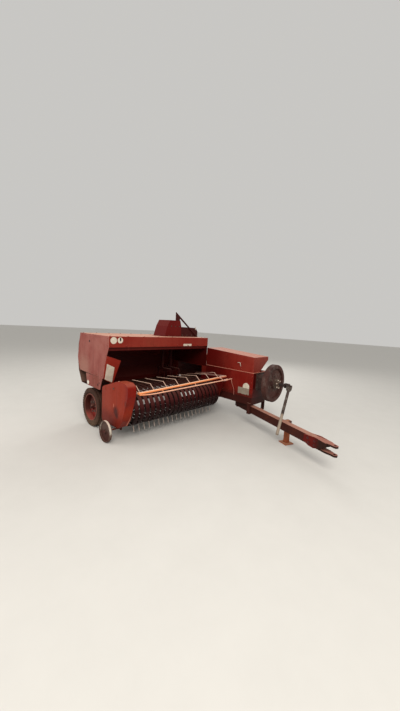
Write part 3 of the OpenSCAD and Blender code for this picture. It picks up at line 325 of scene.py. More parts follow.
@dataclass(frozen=True)
class Paint:
    """Weathered paint on sheet or bar steel."""

    name: str
    color: Color
    fade: Color
    faded: float = 0.3
    streaks: float = 0.3
    rust: float = 0.3
    grime: float = 0.1
    dent: float = 0.6
    gloss: float = 0.42
    seed: float = 0.0
    # Faces that look up are bleached and carry a painted highlight: how strongly, and top, their
    # colour.
    bleach_and_highlight: float = 0.25
    top: Color = (0.86, 0.66, 0.58)
    # The sides whose faces are darkened as painted shade.
    inside: tuple[str, ...] = ()
    tints: tuple[Tint, ...] = ()
    marks: tuple[Tint, ...] = ()

    def material(self) -> bpy.types.Material:
        """Builds the paint: fading, rain streaks, rust, chips, road dirt, pale tops with painted
        highlight and painted shade on the inner side.

        An inside of "-Y" darkens the faces that look towards -Y, as painted shade. Tints lie under
        the wear and marks lie over it.

        Returns:
            The material.
        """
        s = Shader(self.name)
        base, fade = lin(self.color), lin(self.fade)
        off = (self.seed, self.seed * 1.7, self.seed * 0.6)
        large = s.noise(1.4, 5.0, 0.6, offset=off)
        cloud = s.noise(6.0, 6.0, 0.65, offset=off)
        fine = s.noise(38.0, 4.0, 0.7, offset=off)
        grain = s.noise(160.0, 2.0, 0.5, offset=off)
        waves = s.noise(2.6, 2.0, 0.4, offset=off)
        up = s.facing("Z")

        chalk = ((large - 0.42) * 3.0 + (cloud - 0.5) * 1.2 + up.step(0.2, 0.9) * 0.9).clamp()
        color = s.mix(chalk * self.faded, base, fade)
        for tint in self.tints:
            color = tint.over(s, color)
        # Painted highlight with real bleaching: faces that look up turn towards the top colour.
        top_bleach_and_highlight = up.step(0.35, 0.9) * (cloud * 0.5 + 0.75).clamp()
        color = s.mix(top_bleach_and_highlight * self.bleach_and_highlight, color, lin(self.top))

        drip = s.noise(1.0, 3.0, 0.6, stretch=(26.0, 26.0, 1.1), offset=off)
        wall = 1.0 - up.step(0.3, 0.8)
        streak = drip.step(0.52, 0.78) * wall * large.step(0.35, 0.6)
        color = s.mix(streak * self.streaks, color, tuple(c * 0.42 for c in base))
        pale_streak = (1.0 - drip).step(0.56, 0.8) * wall
        color = s.mix(pale_streak * self.streaks * 0.6, color, fade)

        patch = (cloud * 0.6 + fine * 0.25 + large * 0.3).step(0.665 - 0.07 * self.rust, 0.74)
        chips = s.noise(70.0, 3.0, 0.6, offset=off).step(0.70, 0.74) * large.step(0.42, 0.62)
        rust = (patch + chips * 0.8).clamp() * self.rust
        color = s.mix(rust, color, s.mix(fine.step(0.35, 0.65), lin(RUST_DARK), lin(RUST_WARM)))

        low = 1.0 - s.axis("Z").step(0.15, 0.75)
        dirt = ((low * 0.8 + up.step(0.5, 0.95) * 0.35) * (cloud * 0.9 + fine * 0.5)).clamp()
        color = s.mix(dirt * self.grime, color, lin(DUST))
        # Painted shade: faces turned inward are darkened.
        for side in self.inside:
            turned_in = s.facing(side[1]) * (-1.0 if side[0] == "-" else 1.0)
            color = s.mix(turned_in.step(0.25, 0.7) * 0.85, color, lin(SHADE_AND_MARK))
        for mark in self.marks:
            color = mark.over(s, color)

        rough = (self.gloss + chalk * 0.16 + rust * 0.4 + dirt * 0.25 + (fine - 0.5) * 0.16).clamp()
        dents = s.bump(waves, 0.6 * self.dent, 0.012)
        normal = s.bump(fine * 0.5 + grain * 0.3 - rust * 0.8, 0.35, 0.0012, dents)
        return s.finish(SHEEN, Base_Color=color, Roughness=rough, Normal=normal)


@dataclass(frozen=True)
class Iron:
    """Rusty cast or forged iron, worn bright where it is handled."""

    name: str
    dark: Color
    warm: Color
    bright: float = 0.0
    seed: float = 0.0
    tints: tuple[Tint, ...] = ()

    def material(self) -> bpy.types.Material:
        """Builds the rust, its crust and the worn metal."""
        s = Shader(self.name)
        off = (self.seed, self.seed * 0.7, self.seed * 1.9)
        large = s.noise(4.0, 5.0, 0.6, offset=off)
        fine = s.noise(60.0, 5.0, 0.7, offset=off)
        pits = s.noise(220.0, 2.0, 0.6, offset=off)
        color = s.mix((large - 0.35) * 2.2 + (fine - 0.5) * 0.8, lin(self.dark), lin(self.warm))
        color = s.mix(fine.step(0.6, 0.8) * 0.45, color, lin(RUST_WARM))
        for tint in self.tints:
            color = tint.over(s, color)
        worn = (s.noise(9.0, 4.0, 0.6, offset=off) + fine * 0.3).step(0.62, 0.85) * self.bright
        color = s.mix(worn, color, lin(WORN_METAL))
        rough = (0.82 - worn * 0.45 + (fine - 0.5) * 0.2).clamp()
        normal = s.bump(fine * 0.7 + pits * 0.3, 0.5, 0.0018)
        return s.finish({}, Base_Color=color, Roughness=rough, Metallic=worn * 0.85, Normal=normal)


@dataclass(frozen=True)
class Rubber:
    """Weathered tyre rubber with dust and dried mud."""

    name: str = "tyre_rubber"
    dark: Color = (0.18, 0.11, 0.085)
    pale: Color = (0.30, 0.21, 0.165)
    seed: float = 3.0

    def material(self) -> bpy.types.Material:
        """Builds the rubber, with mud low down and in patches."""
        s = Shader(self.name)
        large = s.noise(5.0, 4.0, 0.6, offset=(self.seed, 0, 0))
        fine = s.noise(70.0, 4.0, 0.65, offset=(0, self.seed, 0))
        low = 1.0 - s.axis("Z").step(0.02, 0.30)
        mud = (low * 0.7 + large.step(0.5, 0.75) * 0.5) * fine.step(0.3, 0.65)
        color = s.mix(large, lin(self.dark), lin(self.pale))
        color = s.mix(mud.clamp() * 0.6, color, lin(DUST))
        return s.finish(SHEEN, Base_Color=color, Roughness=(0.78 + mud * 0.15).clamp(),
                        Normal=s.bump(fine, 0.4, 0.0015))


@dataclass(frozen=True)
class Plain:
    """A plain finish with a little wear: a blank label, a reflector or bright steel."""

    name: str
    color: Color
    dirty: Color
    soil: float = 0.4
    rough: float = 0.5
    metal: float = 0.0

    def material(self) -> bpy.types.Material:
        """Builds the finish."""
        s = Shader(self.name)
        cloud = s.noise(14.0, 5.0, 0.65)
        fine = s.noise(90.0, 4.0, 0.65)
        soil = ((cloud - 0.38) * 2.4 + (fine - 0.5)).clamp() * self.soil
        color = s.mix(soil, lin(self.color), lin(self.dirty))
        rough = (self.rough + soil * 0.4).clamp()
        return s.finish({"Metallic": self.metal}, Base_Color=color, Roughness=rough,
                        Normal=s.bump(fine, 0.3, 0.0008))


REEL = pivot("reel")
REEL_Y, REEL_Z = REEL[1:]
CHAMBER_X = middle("bale_chamber")[0]
FEEDER_Y = middle("feeder_hood")[1]
GAUGE = middle("gauge_wheel")
PANEL_X, PANEL_Y, PANEL_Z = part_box("end_panel")[0]
SHIELD_SIDE, SHIELD_EDGE = (corner[0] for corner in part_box("pickup_shield"))
DRAWBAR_PIVOT = pivot("bar")
BAR_ANGLE = math.radians(21.0)
BAR_AHEAD: Point = (-math.sin(BAR_ANGLE), -math.cos(BAR_ANGLE), 0.0)


def rim_paint(node: str, seed: float) -> Paint:
    """The paint of a rim: painted shade in the dish but for its foot, and pale at the lip."""
    hub = middle(node)
    low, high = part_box(node)
    r = (high.z - low.z) / 2
    foot = (hub[0], hub[1] + 0.1 * r, hub[2] - 0.75 * r)
    return Paint(
        node + "_paint", (0.46, 0.05, 0.045), (0.57, 0.17, 0.15), faded=0.25, streaks=0.15,
        grime=0.12, dent=0.2, seed=seed, bleach_and_highlight=0.1,
        tints=(
            # Painted shade in the dish, but for its lit foot.
            Spot((0.16, 0.05, 0.045), 0.85, foot, AROUND_X, 0.45 * r, 0.85 * r),
            Spot((0.60, 0.36, 0.31), 0.8, hub, AROUND_X, r - 0.010, r - 0.005)))


class Finish(Enum):
    """The finishes that the baler's pieces take."""

    # Painted shade: the frame under the housing is painted darker than the other red parts.
    FRAME = Paint(
        "frame_paint", (0.2, 0.02, 0.02), (0.26, 0.065, 0.05), faded=0.4, rust=0.4, dent=0.3,
        gloss=0.5, seed=1.0)
    CHAMBER = Paint(
        "chamber_paint", (0.4, 0.085, 0.06), (0.52, 0.23, 0.18), faded=0.4, rust=0.5, grime=0.4,
        gloss=0.45, seed=2.0,
        tints=(
            # Painted shade: the chamber's inside by the feeder is dark.
            Spot((0.22, 0.03, 0.024), 0.85, (CHAMBER_X, FEEDER_Y + 0.35, 0.0), (1.0, 0.06, 0.0),
                 0.229, 0.2262),))
    CHUTE = Paint(
        "chute_paint", (0.4, 0.085, 0.06), (0.52, 0.23, 0.18), faded=0.4, rust=0.5, grime=0.4,
        gloss=0.45, seed=24.0)
    KNOTTER = Paint(
        "knotter_paint", (0.39, 0.05, 0.035), (0.52, 0.22, 0.17), faded=0.35, streaks=0.35,
        rust=0.25, dent=1.0, gloss=0.4, seed=25.0, bleach_and_highlight=0.5)
    # Painted shade: the feeder's floor is painted dark for the shade inside the feeder.
    INNER = Paint(
        "feeder_inside", (0.17, 0.045, 0.04), (0.24, 0.1, 0.08), faded=0.4, streaks=0.4, rust=0.6,
        grime=0.15, gloss=0.6, seed=15.0, bleach_and_highlight=0.0)
    REAR = Paint(
        "rear_wall_paint", (0.44, 0.095, 0.07), (0.55, 0.25, 0.2), faded=0.4, streaks=0.5,
        # Painted shade on the faces that look ahead, into the feeder.
        grime=0.2, dent=1.0, seed=22.0, bleach_and_highlight=0.35, inside=("-Y",),
        marks=(
            Spot((0.4, 0.31, 0.26), 0.8, (PANEL_X, PANEL_Y + 0.98, 0.62), (0.6, 0.5, 1.0), 0.3,
                 0.16),))
    HOUSING = Paint(
        "housing_paint", (0.44, 0.085, 0.06), (0.56, 0.22, 0.17), streaks=0.35, rust=0.15,
        grime=0.15, dent=1.0, gloss=0.36, seed=3.0, bleach_and_highlight=0.75, top=(0.84, 0.58, 0.48),
        # Painted shade on the faces that look ahead.
        inside=("-Y",),
        tints=(
            # Painted shade: darker towards the hood at the back, and darker below 0.62 m in the
            # flywheel's shadow.
            Side((0.26, 0.03, 0.03), 0.8, (0.0, -0.75, 0.0), BACK, -0.1, 0.45),
            Side((0.24, 0.03, 0.03), 0.7, (0.0, 0.0, 0.62), DOWN, 0.0, 0.13),
            # Painted highlight: a pale line along the ledge under the cover.
            Spot((0.8, 0.52, 0.44), 0.95, (0.0, 0.0, 0.9265), UP, 0.006, 0.0036)))
    COVER = Paint(
        "cover_paint", (0.46, 0.1, 0.07), (0.58, 0.26, 0.2), faded=0.35, streaks=0.35, rust=0.15,
        grime=0.15, dent=1.2, gloss=0.36, seed=20.0, bleach_and_highlight=0.8, top=(0.72, 0.46, 0.37),
        tints=(
            # Painted shade: darker towards the hood at the back.
            Side((0.3, 0.04, 0.035), 0.75, (0.0, -0.75, 0.0), BACK, -0.1, 0.45),
            # Painted highlight: paler at the front.
            Side((0.62, 0.33, 0.27), 0.5, (0.0, -1.13, 0.0), FRONT, 0.0, 0.1)))
    TWINE = Paint(
        "twine_box_paint", (0.46, 0.1, 0.07), (0.6, 0.28, 0.22), faded=0.4, streaks=0.35, rust=0.25,
        grime=0.2, dent=1.0, gloss=0.4, seed=21.0, bleach_and_highlight=0.6)
    HOOD = Paint(
        "hood_paint", (0.48, 0.125, 0.085), (0.58, 0.27, 0.21), rust=0.2, grime=0.15, dent=1.0,
        # Painted shade on the inner faces and the underside.
        seed=4.0, bleach_and_highlight=0.85, top=(0.82, 0.62, 0.53), inside=("-X", "-Z"),
        tints=(
            # Painted shade: the hood below its lit roof is darker.
            Side((0.27, 0.03, 0.02), 0.85, (0.0, 0.0, 1.299), DOWN, 0.0, 0.006),))
    PANEL = Paint(
        "panel_paint", (0.53, 0.265, 0.235), (0.66, 0.44, 0.4), faded=0.85, streaks=1.0, rust=0.25,
        # Painted shade on the faces that look inward.
        grime=0.25, dent=1.6, gloss=0.5, seed=5.0, bleach_and_highlight=0.4, inside=("+X",),
        tints=(
            Spot((0.64, 0.48, 0.42), 0.55, (0.0, PANEL_Y + 0.85, PANEL_Z + 0.08), AROUND_X, 0.34,
                 0.06),
            Spot((0.44, 0.22, 0.16), 0.5, (0.0, PANEL_Y + 0.4, PANEL_Z - 0.1), AROUND_X, 0.22,
                 0.06)),
        marks=(
            Spot((0.26, 0.09, 0.07), 0.8, (0.0, 0.2, 0.73), AROUND_X, 0.024, 0.008),))
    WING = Paint(
        "wing_paint", (0.53, 0.145, 0.1), (0.62, 0.25, 0.19), rust=0.15, dent=0.8, gloss=0.35,
        # Painted shade on the faces that look back.
        seed=6.0, bleach_and_highlight=0.1, inside=("+Y",))
    SHIELD = Paint(
        "shield_paint", (0.53, 0.125, 0.01), (0.55, 0.19, 0.075), faded=0.35, streaks=0.55,
        rust=0.35, dent=1.4, gloss=0.36, seed=7.0, bleach_and_highlight=0.3, top=(0.66, 0.36, 0.28),
        # Painted shade on the faces that look inward.
        inside=("+X",),
        tints=(
            Side((0.54, 0.19, 0.12), 0.55, (0.0, REEL_Y + 0.04, 0.0), BACK, -0.06, 0.2),
            Side((0.38, 0.035, 0.01), 0.8, (0.0, 0.0, REEL_Z), DOWN, -0.05, 0.13),
            Side((0.44, 0.05, 0.02), 0.9, (0.0, REEL_Y - 0.2, 0.0), FRONT, 0.0, 0.12)),
        marks=(
            Spot((0.25, 0.05, 0.035), 0.95, (SHIELD_SIDE, REEL_Y - 0.014, REEL_Z + 0.008), AROUND_X,
                 0.105, 0.02),
            Spot((0.25, 0.05, 0.035), 0.9, (SHIELD_SIDE, REEL_Y - 0.045, REEL_Z - 0.05), AROUND_X,
                 0.055, 0.015),
            Spot((0.72, 0.42, 0.34), 0.8, (SHIELD_SIDE, REEL_Y + 0.05, REEL_Z + 0.08),
                 (0.0, 2.6, 0.8), 0.032, 0.014),
            Spot((0.27, 0.11, 0.04), 0.8, (SHIELD_SIDE, REEL_Y - 0.272, REEL_Z + 0.05),
                 (0.0, 1.4, 0.7), 0.05, 0.015),
            Spot((0.3, 0.08, 0.03), 0.45, (SHIELD_SIDE, REEL_Y - 0.265, REEL_Z + 0.17),
                 (0.7, 1.2, 0.8), 0.05, 0.015),
            Spot((0.74, 0.45, 0.36), 0.85, (SHIELD_EDGE, REEL_Y - 0.11, REEL_Z - 0.17),
                 (8.0, 1.0, 1.0), 0.185, 0.115)))
    GUARD = Paint(
        "guard_paint", (0.91, 0.54, 0.32), (0.93, 0.66, 0.46), faded=0.4, streaks=0.1, rust=0.12,
        # Painted highlight: the tubes' top faces turn pale.
        dent=0.1, gloss=0.4, seed=8.0, bleach_and_highlight=0.7, top=(0.95, 0.8, 0.68),
        tints=(
            Side((0.62, 0.28, 0.22), 0.8, (0.2, 0.0, 0.0), INWARD, 0.0, 0.3),
            Side((0.8, 0.68, 0.63), 0.9, (0.0, REEL_Y - 0.35, 0.0), BACK, 0.018, 0.028),
            Side((0.91, 0.68, 0.58), 0.85, (0.0, REEL_Y - 0.35, 0.0), FRONT, 0.018, 0.028)),
        marks=(
            Side((0.4, 0.2, 0.18), 0.75, (0.0, REEL_Y, 0.0), (0.5, 1.0, 0.0), 0.0, 0.13),
            Side((0.56, 0.3, 0.28), 0.7, (0.6, REEL_Y - 0.42, 0.0), (0.7, -0.7, -0.1), -0.02,
                 0.04)))
    STAND = Paint(
        "stand_paint", (0.58, 0.24, 0.1), (0.7, 0.42, 0.28), faded=0.4, streaks=0.2, rust=0.7,
        grime=0.3, dent=0.1, gloss=0.5, seed=16.0, bleach_and_highlight=0.6, top=(0.72, 0.52, 0.4))
    PICKUP = Paint(
        "pickup_paint", (0.32, 0.02, 0.02), (0.4, 0.1, 0.09), faded=0.25, streaks=0.25, grime=0.15,
        gloss=0.4, seed=9.0)
    BANDS = Paint(
        "band_paint", (0.15, 0.003, 0.004), (0.22, 0.025, 0.025), streaks=0.2, rust=0.2, grime=0.0,
        dent=0.3, gloss=0.4, seed=10.0, bleach_and_highlight=0.05,
        tints=(
            # Painted highlight: paler bands near the top front of the reel.
            Spot((0.4, 0.17, 0.16), 0.35, (0.0, REEL_Y - 0.17, REEL_Z + 0.12), AROUND_X, 0.12,
                 0.04),
            # Painted shade: the bands darker below the reel's axis.
            Side((0.07, 0.008, 0.008), 0.75, (0.0, 0.0, REEL_Z), DOWN, -0.06, 0.16)))
    PACKER = Paint(
        "packer_paint", (0.36, 0.04, 0.028), (0.43, 0.12, 0.09), dent=0.8, gloss=0.45, seed=11.0,
        bleach_and_highlight=0.1)
    DRIVE = Paint(
        "packer_drive_paint", (0.22, 0.05, 0.045), (0.3, 0.12, 0.1), rust=0.4, dent=0.8, gloss=0.5,
        seed=17.0, bleach_and_highlight=0.1)
    RIM_RIGHT = rim_paint("right_rim", 12.0)
    RIM_LEFT = rim_paint("left_rim", 18.0)
    # Painted shade and highlight: dark paint for the drawbar's shaded sides, and pale top faces for
    # the light on its top.
    DRAWBAR = Paint(
        "drawbar_paint", (0.21, 0.045, 0.032), (0.3, 0.1, 0.075), rust=0.5, grime=0.08, dent=0.3,
        seed=13.0, bleach_and_highlight=0.85, top=(0.7, 0.5, 0.43))
    JAW = Paint(
        "jaw_paint", (0.36, 0.018, 0.014), (0.45, 0.12, 0.09), faded=0.2, streaks=0.2, rust=0.4,
        # Painted highlight: the jaw's top faces turn pale.
        grime=0.05, dent=0.3, seed=19.0, bleach_and_highlight=0.7, top=(0.7, 0.46, 0.4),
        tints=(
            Side((0.14, 0.07, 0.05), 0.95, DRAWBAR_PIVOT, BAR_AHEAD, 1.8, 1.92),))
    JAW_BOLT = Plain("painted_bolt", (0.3, 0.03, 0.025), (0.2, 0.09, 0.065), soil=0.6, rough=0.6)
    PALE = Paint(
        "gauge_paint", (0.8, 0.76, 0.7), (0.88, 0.86, 0.82), faded=0.5, streaks=0.4, rust=0.5,
        dent=0.2, gloss=0.5, seed=14.0, bleach_and_highlight=0.2)
    GAUGE_WHEEL = Paint(
        "gauge_wheel_paint", (0.76, 0.72, 0.66), (0.82, 0.79, 0.73), faded=0.5, rust=0.4, grime=0.0,
        dent=0.2, gloss=0.5, seed=23.0, bleach_and_highlight=0.2,
        marks=(
            Spot((0.25, 0.13, 0.105), 0.92, GAUGE, INWARD, 0.0125, 0.0165),
            Side((0.3, 0.19, 0.155), 0.92, GAUGE, DOWN, -0.045, 0.035),
            Spot((0.25, 0.13, 0.105), 0.92, GAUGE, AROUND_X, 0.14, 0.132)))
    WHEEL_IRON = Iron(
        "flywheel_iron", (0.19, 0.065, 0.04), (0.31, 0.14, 0.09), bright=0.15, seed=5.0)
    # Painted shade: the packer forks are near black for the shade inside the feeder.
    FORKS = Paint(
        "fork_paint", (0.16, 0.02, 0.017), (0.21, 0.05, 0.04), streaks=0.2, grime=0.05, dent=0.4,
        gloss=0.6, seed=26.0, bleach_and_highlight=0.1)
    CLUTCH = Iron("clutch_iron", (0.26, 0.18, 0.145), (0.42, 0.33, 0.27), bright=0.35, seed=6.0)
    IRON = Iron("rusty_iron", (0.14, 0.08, 0.065), (0.26, 0.15, 0.11), bright=0.12, seed=1.0)
    STEEL = Iron("worn_steel", (0.26, 0.18, 0.14), (0.38, 0.29, 0.23), bright=0.5, seed=2.0)
    TINES = Iron(
        "tine_steel", (0.15, 0.085, 0.07), (0.22, 0.13, 0.11), bright=0.1, seed=4.0,
        tints=(
            # Painted highlight: the tines that hang below the reel turn pale.
            Side((0.74, 0.66, 0.6), 0.95, REEL, DOWN, 0.205, 0.235),))
    SHAFT = Iron(
        "shaft_steel", (0.2, 0.14, 0.115), (0.31, 0.24, 0.2), bright=0.3, seed=3.0,
        tints=(
            Spot((0.6, 0.53, 0.46), 0.85, pivot("shaft"), (1.0, 1.0, 1.0), 0.61, 0.66),))
    RUBBER = Rubber()
    LENS = Plain("reflector_white", (0.9, 0.88, 0.83), DUST, soil=0.25, rough=0.2)
    LABEL = Plain("blank_label", (0.82, 0.78, 0.71), (0.55, 0.43, 0.36), soil=0.5)
    LABEL_GREY = Plain("grey_label", (0.56, 0.52, 0.46), (0.42, 0.24, 0.19), soil=0.6, rough=0.55)
    BOLT = Plain(
        "bolt_zinc", (0.38, 0.32, 0.28), (0.24, 0.13, 0.1), soil=0.9, rough=0.45, metal=0.4)
    # Dark discs: painted shade in the latch holes, and a dark mark on a fascia disc.
    SHADE_AND_MARK = Plain("dark_hole", (0.06, 0.03, 0.03), (0.1, 0.05, 0.045), rough=0.8)
    TIE = Plain("tie_wire", (0.84, 0.7, 0.66), (0.62, 0.42, 0.38))
    WIRE = Plain("bright_wire", (0.82, 0.76, 0.7), (0.55, 0.44, 0.37), rough=0.4, metal=0.3)


NODE_FINISH: dict[Finish, tuple[str, ...]] = {
    Finish.FRAME: ("main_frame", "needle_frame", "tension_frame"),
    Finish.CHAMBER: ("bale_chamber",),
    Finish.CHUTE: ("bale_chute", "knotter_stand"),
    Finish.KNOTTER: ("knotter_cover",),
    Finish.INNER: ("feeder_floor",),
    Finish.REAR: ("feeder_rear_wall",),
    Finish.HOUSING: ("plunger_housing",),
    Finish.COVER: ("housing_cover",),
    Finish.TWINE: ("twine_box", "twine_box_lid"),
    Finish.HOOD: ("feeder_hood",),
    Finish.PANEL: ("end_panel", "lower_end_panel"),
    Finish.WING: ("wing_plate",),
    Finish.SHIELD: ("pickup_shield",),
    Finish.GUARD: ("windguard",),
    Finish.STAND: ("stand_post",),
    Finish.PICKUP: ("pickup_frame",),
    Finish.BANDS: ("strippers",),
    Finish.PACKER: ("packer_cover",),
    Finish.DRIVE: ("packer_drive",),
    Finish.RIM_RIGHT: ("right_rim",),
    Finish.RIM_LEFT: ("left_rim",),
    Finish.DRAWBAR: ("drawbar",),
    Finish.JAW: ("hitch_jaw",),
    Finish.GAUGE_WHEEL: ("gauge_wheel",),
    Finish.WHEEL_IRON: ("flywheel",),
    Finish.CLUTCH: ("slip_clutch",),
    Finish.IRON: ("gearbox", "input_shaft", "plunger", "knotters"),
    Finish.FORKS: ("packer_forks",),
    Finish.STEEL: ("metering_wheel", "tension_springs"),
    Finish.TINES: ("pickup_reel",),
    Finish.SHAFT: ("hanging_shaft",),
    Finish.RUBBER: ("right_tyre", "left_tyre"),
    Finish.LENS: ("reflector",),
}


class Workshop:
    """Keeps the materials and turns raw shapes into finished pieces."""

    def __init__(self) -> None:
        """Starts with no materials made."""
        self.made: dict[Finish, bpy.types.Material] = {}
        self.fasteners = fastener_recipe()
        self.coils = coil_recipe()
        self.lugs = lug_recipe()
        self.wires = wire_recipe()

    def material(self, finish: Finish) -> bpy.types.Material:
        """The material of a finish, made once."""
        if finish not in self.made:
            self.made[finish] = finish.value.material()
        return self.made[finish]

    def dress(self, mesh: bpy.types.Mesh, finish: Finish) -> None:
        """Gives a mesh one finish all over."""
        mesh.materials.clear()
        mesh.materials.append(self.material(finish))

    def dress_nodes(self) -> None:
        """Gives every carried-over node its finish."""
        for finish, names in NODE_FINISH.items():
            for name in names:
                self.dress(frame["nodes"][name].data, finish)
                LOG.info("node %s: %s", name, finish.name)

    def piece(self, name: str, mesh: bpy.types.Mesh, body: str, finish: Finish,
              slot: str) -> bpy.types.Object:
        """Puts a mesh in the scene as a piece of a body.

        Args:
            name: The piece's name.
            mesh: Its mesh, in metres in the frame.
            body: The body it moves with.
            finish: Its finish.
            slot: The record's material slot that it belongs to; not used.

        Returns:
            The object.
        """
        obj = bpy.data.objects.new(name, mesh)
        bpy.context.scene.collection.objects.link(obj)
        self.dress(mesh, finish)
        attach(obj, body)
        LOG.info("piece %s on %s: %d faces", name, body, len(mesh.polygons))
        return obj


# ---- Recipes for small repeated shapes

@dataclass(frozen=True)
class Head:
    """The shape of a fastener's head, in metres; its fields are the fastener recipe's inputs."""

    sides: int = 6
    radius: float = 0.010
    height: float = 0.008
    washer: float = 0.014
    washer_h: float = 0.002


BOLT_M10 = Head()
BOLT_M8 = Head(6, 0.0075, 0.006, 0.011, 0.0015)
BOLT_M16 = Head(6, 0.014, 0.011, 0.019, 0.003)
CLUTCH_NUT = Head(6, 0.011, 0.009, 0.013, 0.002)
STAND_PIN = Head(12, 0.012, 0.016, 0.018, 0.003)
RIVET = Head(12, 0.007, 0.0035, 0.008, 0.001)


@dataclass(frozen=True)
class Spring:
    """The shape of a coil, in metres; its fields are the coil recipe's inputs."""

    turns: float
    radius: float
    wire: float
    height: float
    steps: int = 10
    sides: int = 5


class Recipe(Graph):
    """A Geometry Nodes tree with named inputs, baked into plain meshes."""

    def __init__(self, name: str, inputs: dict[str, float | int]) -> None:
        """Starts a tree.

        Args:
            name: The tree's name.
            inputs: Its number inputs with their defaults.
        """
        group = bpy.data.node_groups.new(name, "GeometryNodeTree")
        super().__init__(group)
        group.interface.new_socket("Geometry", in_out="INPUT", socket_type="NodeSocketGeometry")
        group.interface.new_socket("Material", in_out="INPUT", socket_type="NodeSocketMaterial")
        for key, value in inputs.items():
            kind = "NodeSocketInt" if isinstance(value, int) else "NodeSocketFloat"
            group.interface.new_socket(key, in_out="INPUT", socket_type=kind).default_value = value
        group.interface.new_socket("Geometry", in_out="OUTPUT", socket_type="NodeSocketGeometry")
        self.given = group.nodes.new("NodeGroupInput")

    def input(self, key: str) -> Val:
        """One of the tree's inputs, by its name."""
        return Val(self, self.given.outputs[key])

    def vector(self, x: object, y: object, z: object) -> Val:
        """A vector from three values."""
        return self.out("ShaderNodeCombineXYZ", {}, {0: x, 1: y, 2: z})

    def lifted(self, geometry: Val, height: Val) -> Val:
        """The geometry moved up by a height."""
        return self.out("GeometryNodeTransform", {},
                        {"Geometry": geometry, "Translation": self.vector(0.0, 0.0, height)})

    def cylinder(self, sides: object, radius: Val, depth: Val) -> Val:
        """An upright cylinder about the origin."""
        return self.out("GeometryNodeMeshCylinder", {},
                        {"Vertices": sides, "Radius": radius, "Depth": depth})

    def pipe(self, curve: Val, radius: Val) -> Val:
        """A closed round wire along a curve, with the tree's own number of sides."""
        ring = self.out("GeometryNodeCurvePrimitiveCircle", {"mode": "RADIUS"},
                        {"Resolution": self.input("sides"), "Radius": radius})
        return self.out("GeometryNodeCurveToMesh", {},
                        {"Curve": curve, "Profile Curve": ring, "Fill Caps": True})

    def joined(self, *parts: Val) -> Val:
        """Several geometries as one."""
        made = self.node("GeometryNodeJoinGeometry", {}, {})
        for part in parts:
            self.tree.links.new(part.socket, made.inputs[0])
        return Val(self, made.outputs[0])

    def upright(self) -> Val:
        """A turn that stands Z on each point's facing, with X near to the world's X."""
        facing = self.out("GeometryNodeInputNamedAttribute", {"data_type": "FLOAT_VECTOR"},
                          {"Name": "facing"})
        stood = self.out("FunctionNodeAlignRotationToVector", {"axis": "Z"}, {"Vector": facing})
        return self.out("FunctionNodeAlignRotationToVector", {"axis": "X", "pivot_axis": "Z"},
                        {"Rotation": stood, "Vector": (1.0, 0.0, 0.0)})

    def planted(self, shape: Val, spin: Val | None = None) -> "Recipe":
        """Ends the tree: the shape upright on every given point, with a turn of its own if any."""
        turn = self.upright()
        if spin is not None:
            turn = self.out("FunctionNodeRotateRotation", {"rotation_space": "LOCAL"},
                            {"Rotation": turn, "Rotate By": spin})
        return self.close(self.out(
            "GeometryNodeInstanceOnPoints", {},
            {"Points": self.input("Geometry"), "Instance": shape, "Rotation": turn}))

    def close(self, geometry: Val) -> "Recipe":
        """Ends the tree: instances made real and the material set."""
        real = self.out("GeometryNodeRealizeInstances", {}, {"Geometry": geometry})
        painted = self.out("GeometryNodeSetMaterial", {},
                           {"Geometry": real, "Material": self.input("Material")})
        end = self.tree.nodes.new("NodeGroupOutput")
        self.tree.links.new(painted.socket, end.inputs[0])
        return self

    def bake(self, name: str, seeds: bpy.types.Mesh, material: bpy.types.Material,
             values: dict[str, float | int]) -> bpy.types.Mesh:
        """Runs the tree on seeds and keeps the result as a plain mesh.

        Args:
            name: The new mesh's name.
            seeds: The points or lines that the shapes grow on.
            material: What the Material input takes.
            values: Numbers for the tree's inputs.

        Returns:
            The mesh.
        """
        host = bpy.data.objects.new(name, seeds)
        bpy.context.scene.collection.objects.link(host)
        growth = host.modifiers.new("growth", "NODES")
        growth.node_group = self.tree
        ids = {item.name: item.identifier for item in self.tree.interface.items_tree
               if item.item_type == "SOCKET" and item.in_out == "INPUT"}
        growth[ids["Material"]] = material
        for key, value in values.items():
            growth[ids[key]] = value
        ready = host.evaluated_get(bpy.context.evaluated_depsgraph_get())
        mesh = bpy.data.meshes.new_from_object(ready)
        host.modifiers.remove(growth)
        bpy.data.objects.remove(host)
        mesh.name = name
        return mesh


WASHER_SIDES = 14


def fastener_recipe() -> Recipe:
    """A head on a washer at every point, each with its own turn."""
    r = Recipe("fasteners", {**asdict(BOLT_M10), "seed": 1})
    head = r.cylinder(r.input("sides"), r.input("radius"), r.input("height"))
    head = r.lifted(head, r.input("height") * 0.5 + r.input("washer_h"))
    washer = r.cylinder(WASHER_SIDES, r.input("washer"), r.input("washer_h") * 2.0)
    spin = r.out("FunctionNodeRandomValue", {"data_type": "FLOAT_VECTOR"},
                 {"Min": (0.0, 0.0, 0.0), "Max": (0.0, 0.0, FULL_TURN), "Seed": r.input("seed")})
    return r.planted(r.joined(head, washer), spin)


def coil_recipe() -> Recipe:
    """A coil of round wire at every point, its axis along the point's facing."""
    r = Recipe("coils", asdict(Spring(3.0, 0.020, 0.003, 0.020)))
    spiral = r.out("GeometryNodeCurveSpiral", {},
                   {"Resolution": r.input("steps"), "Rotations": r.input("turns"),
                    "Start Radius": r.input("radius"), "End Radius": r.input("radius"),
                    "Height": r.input("height")})
    return r.planted(r.lifted(r.pipe(spiral, r.input("wire")), r.input("height") * -0.5))


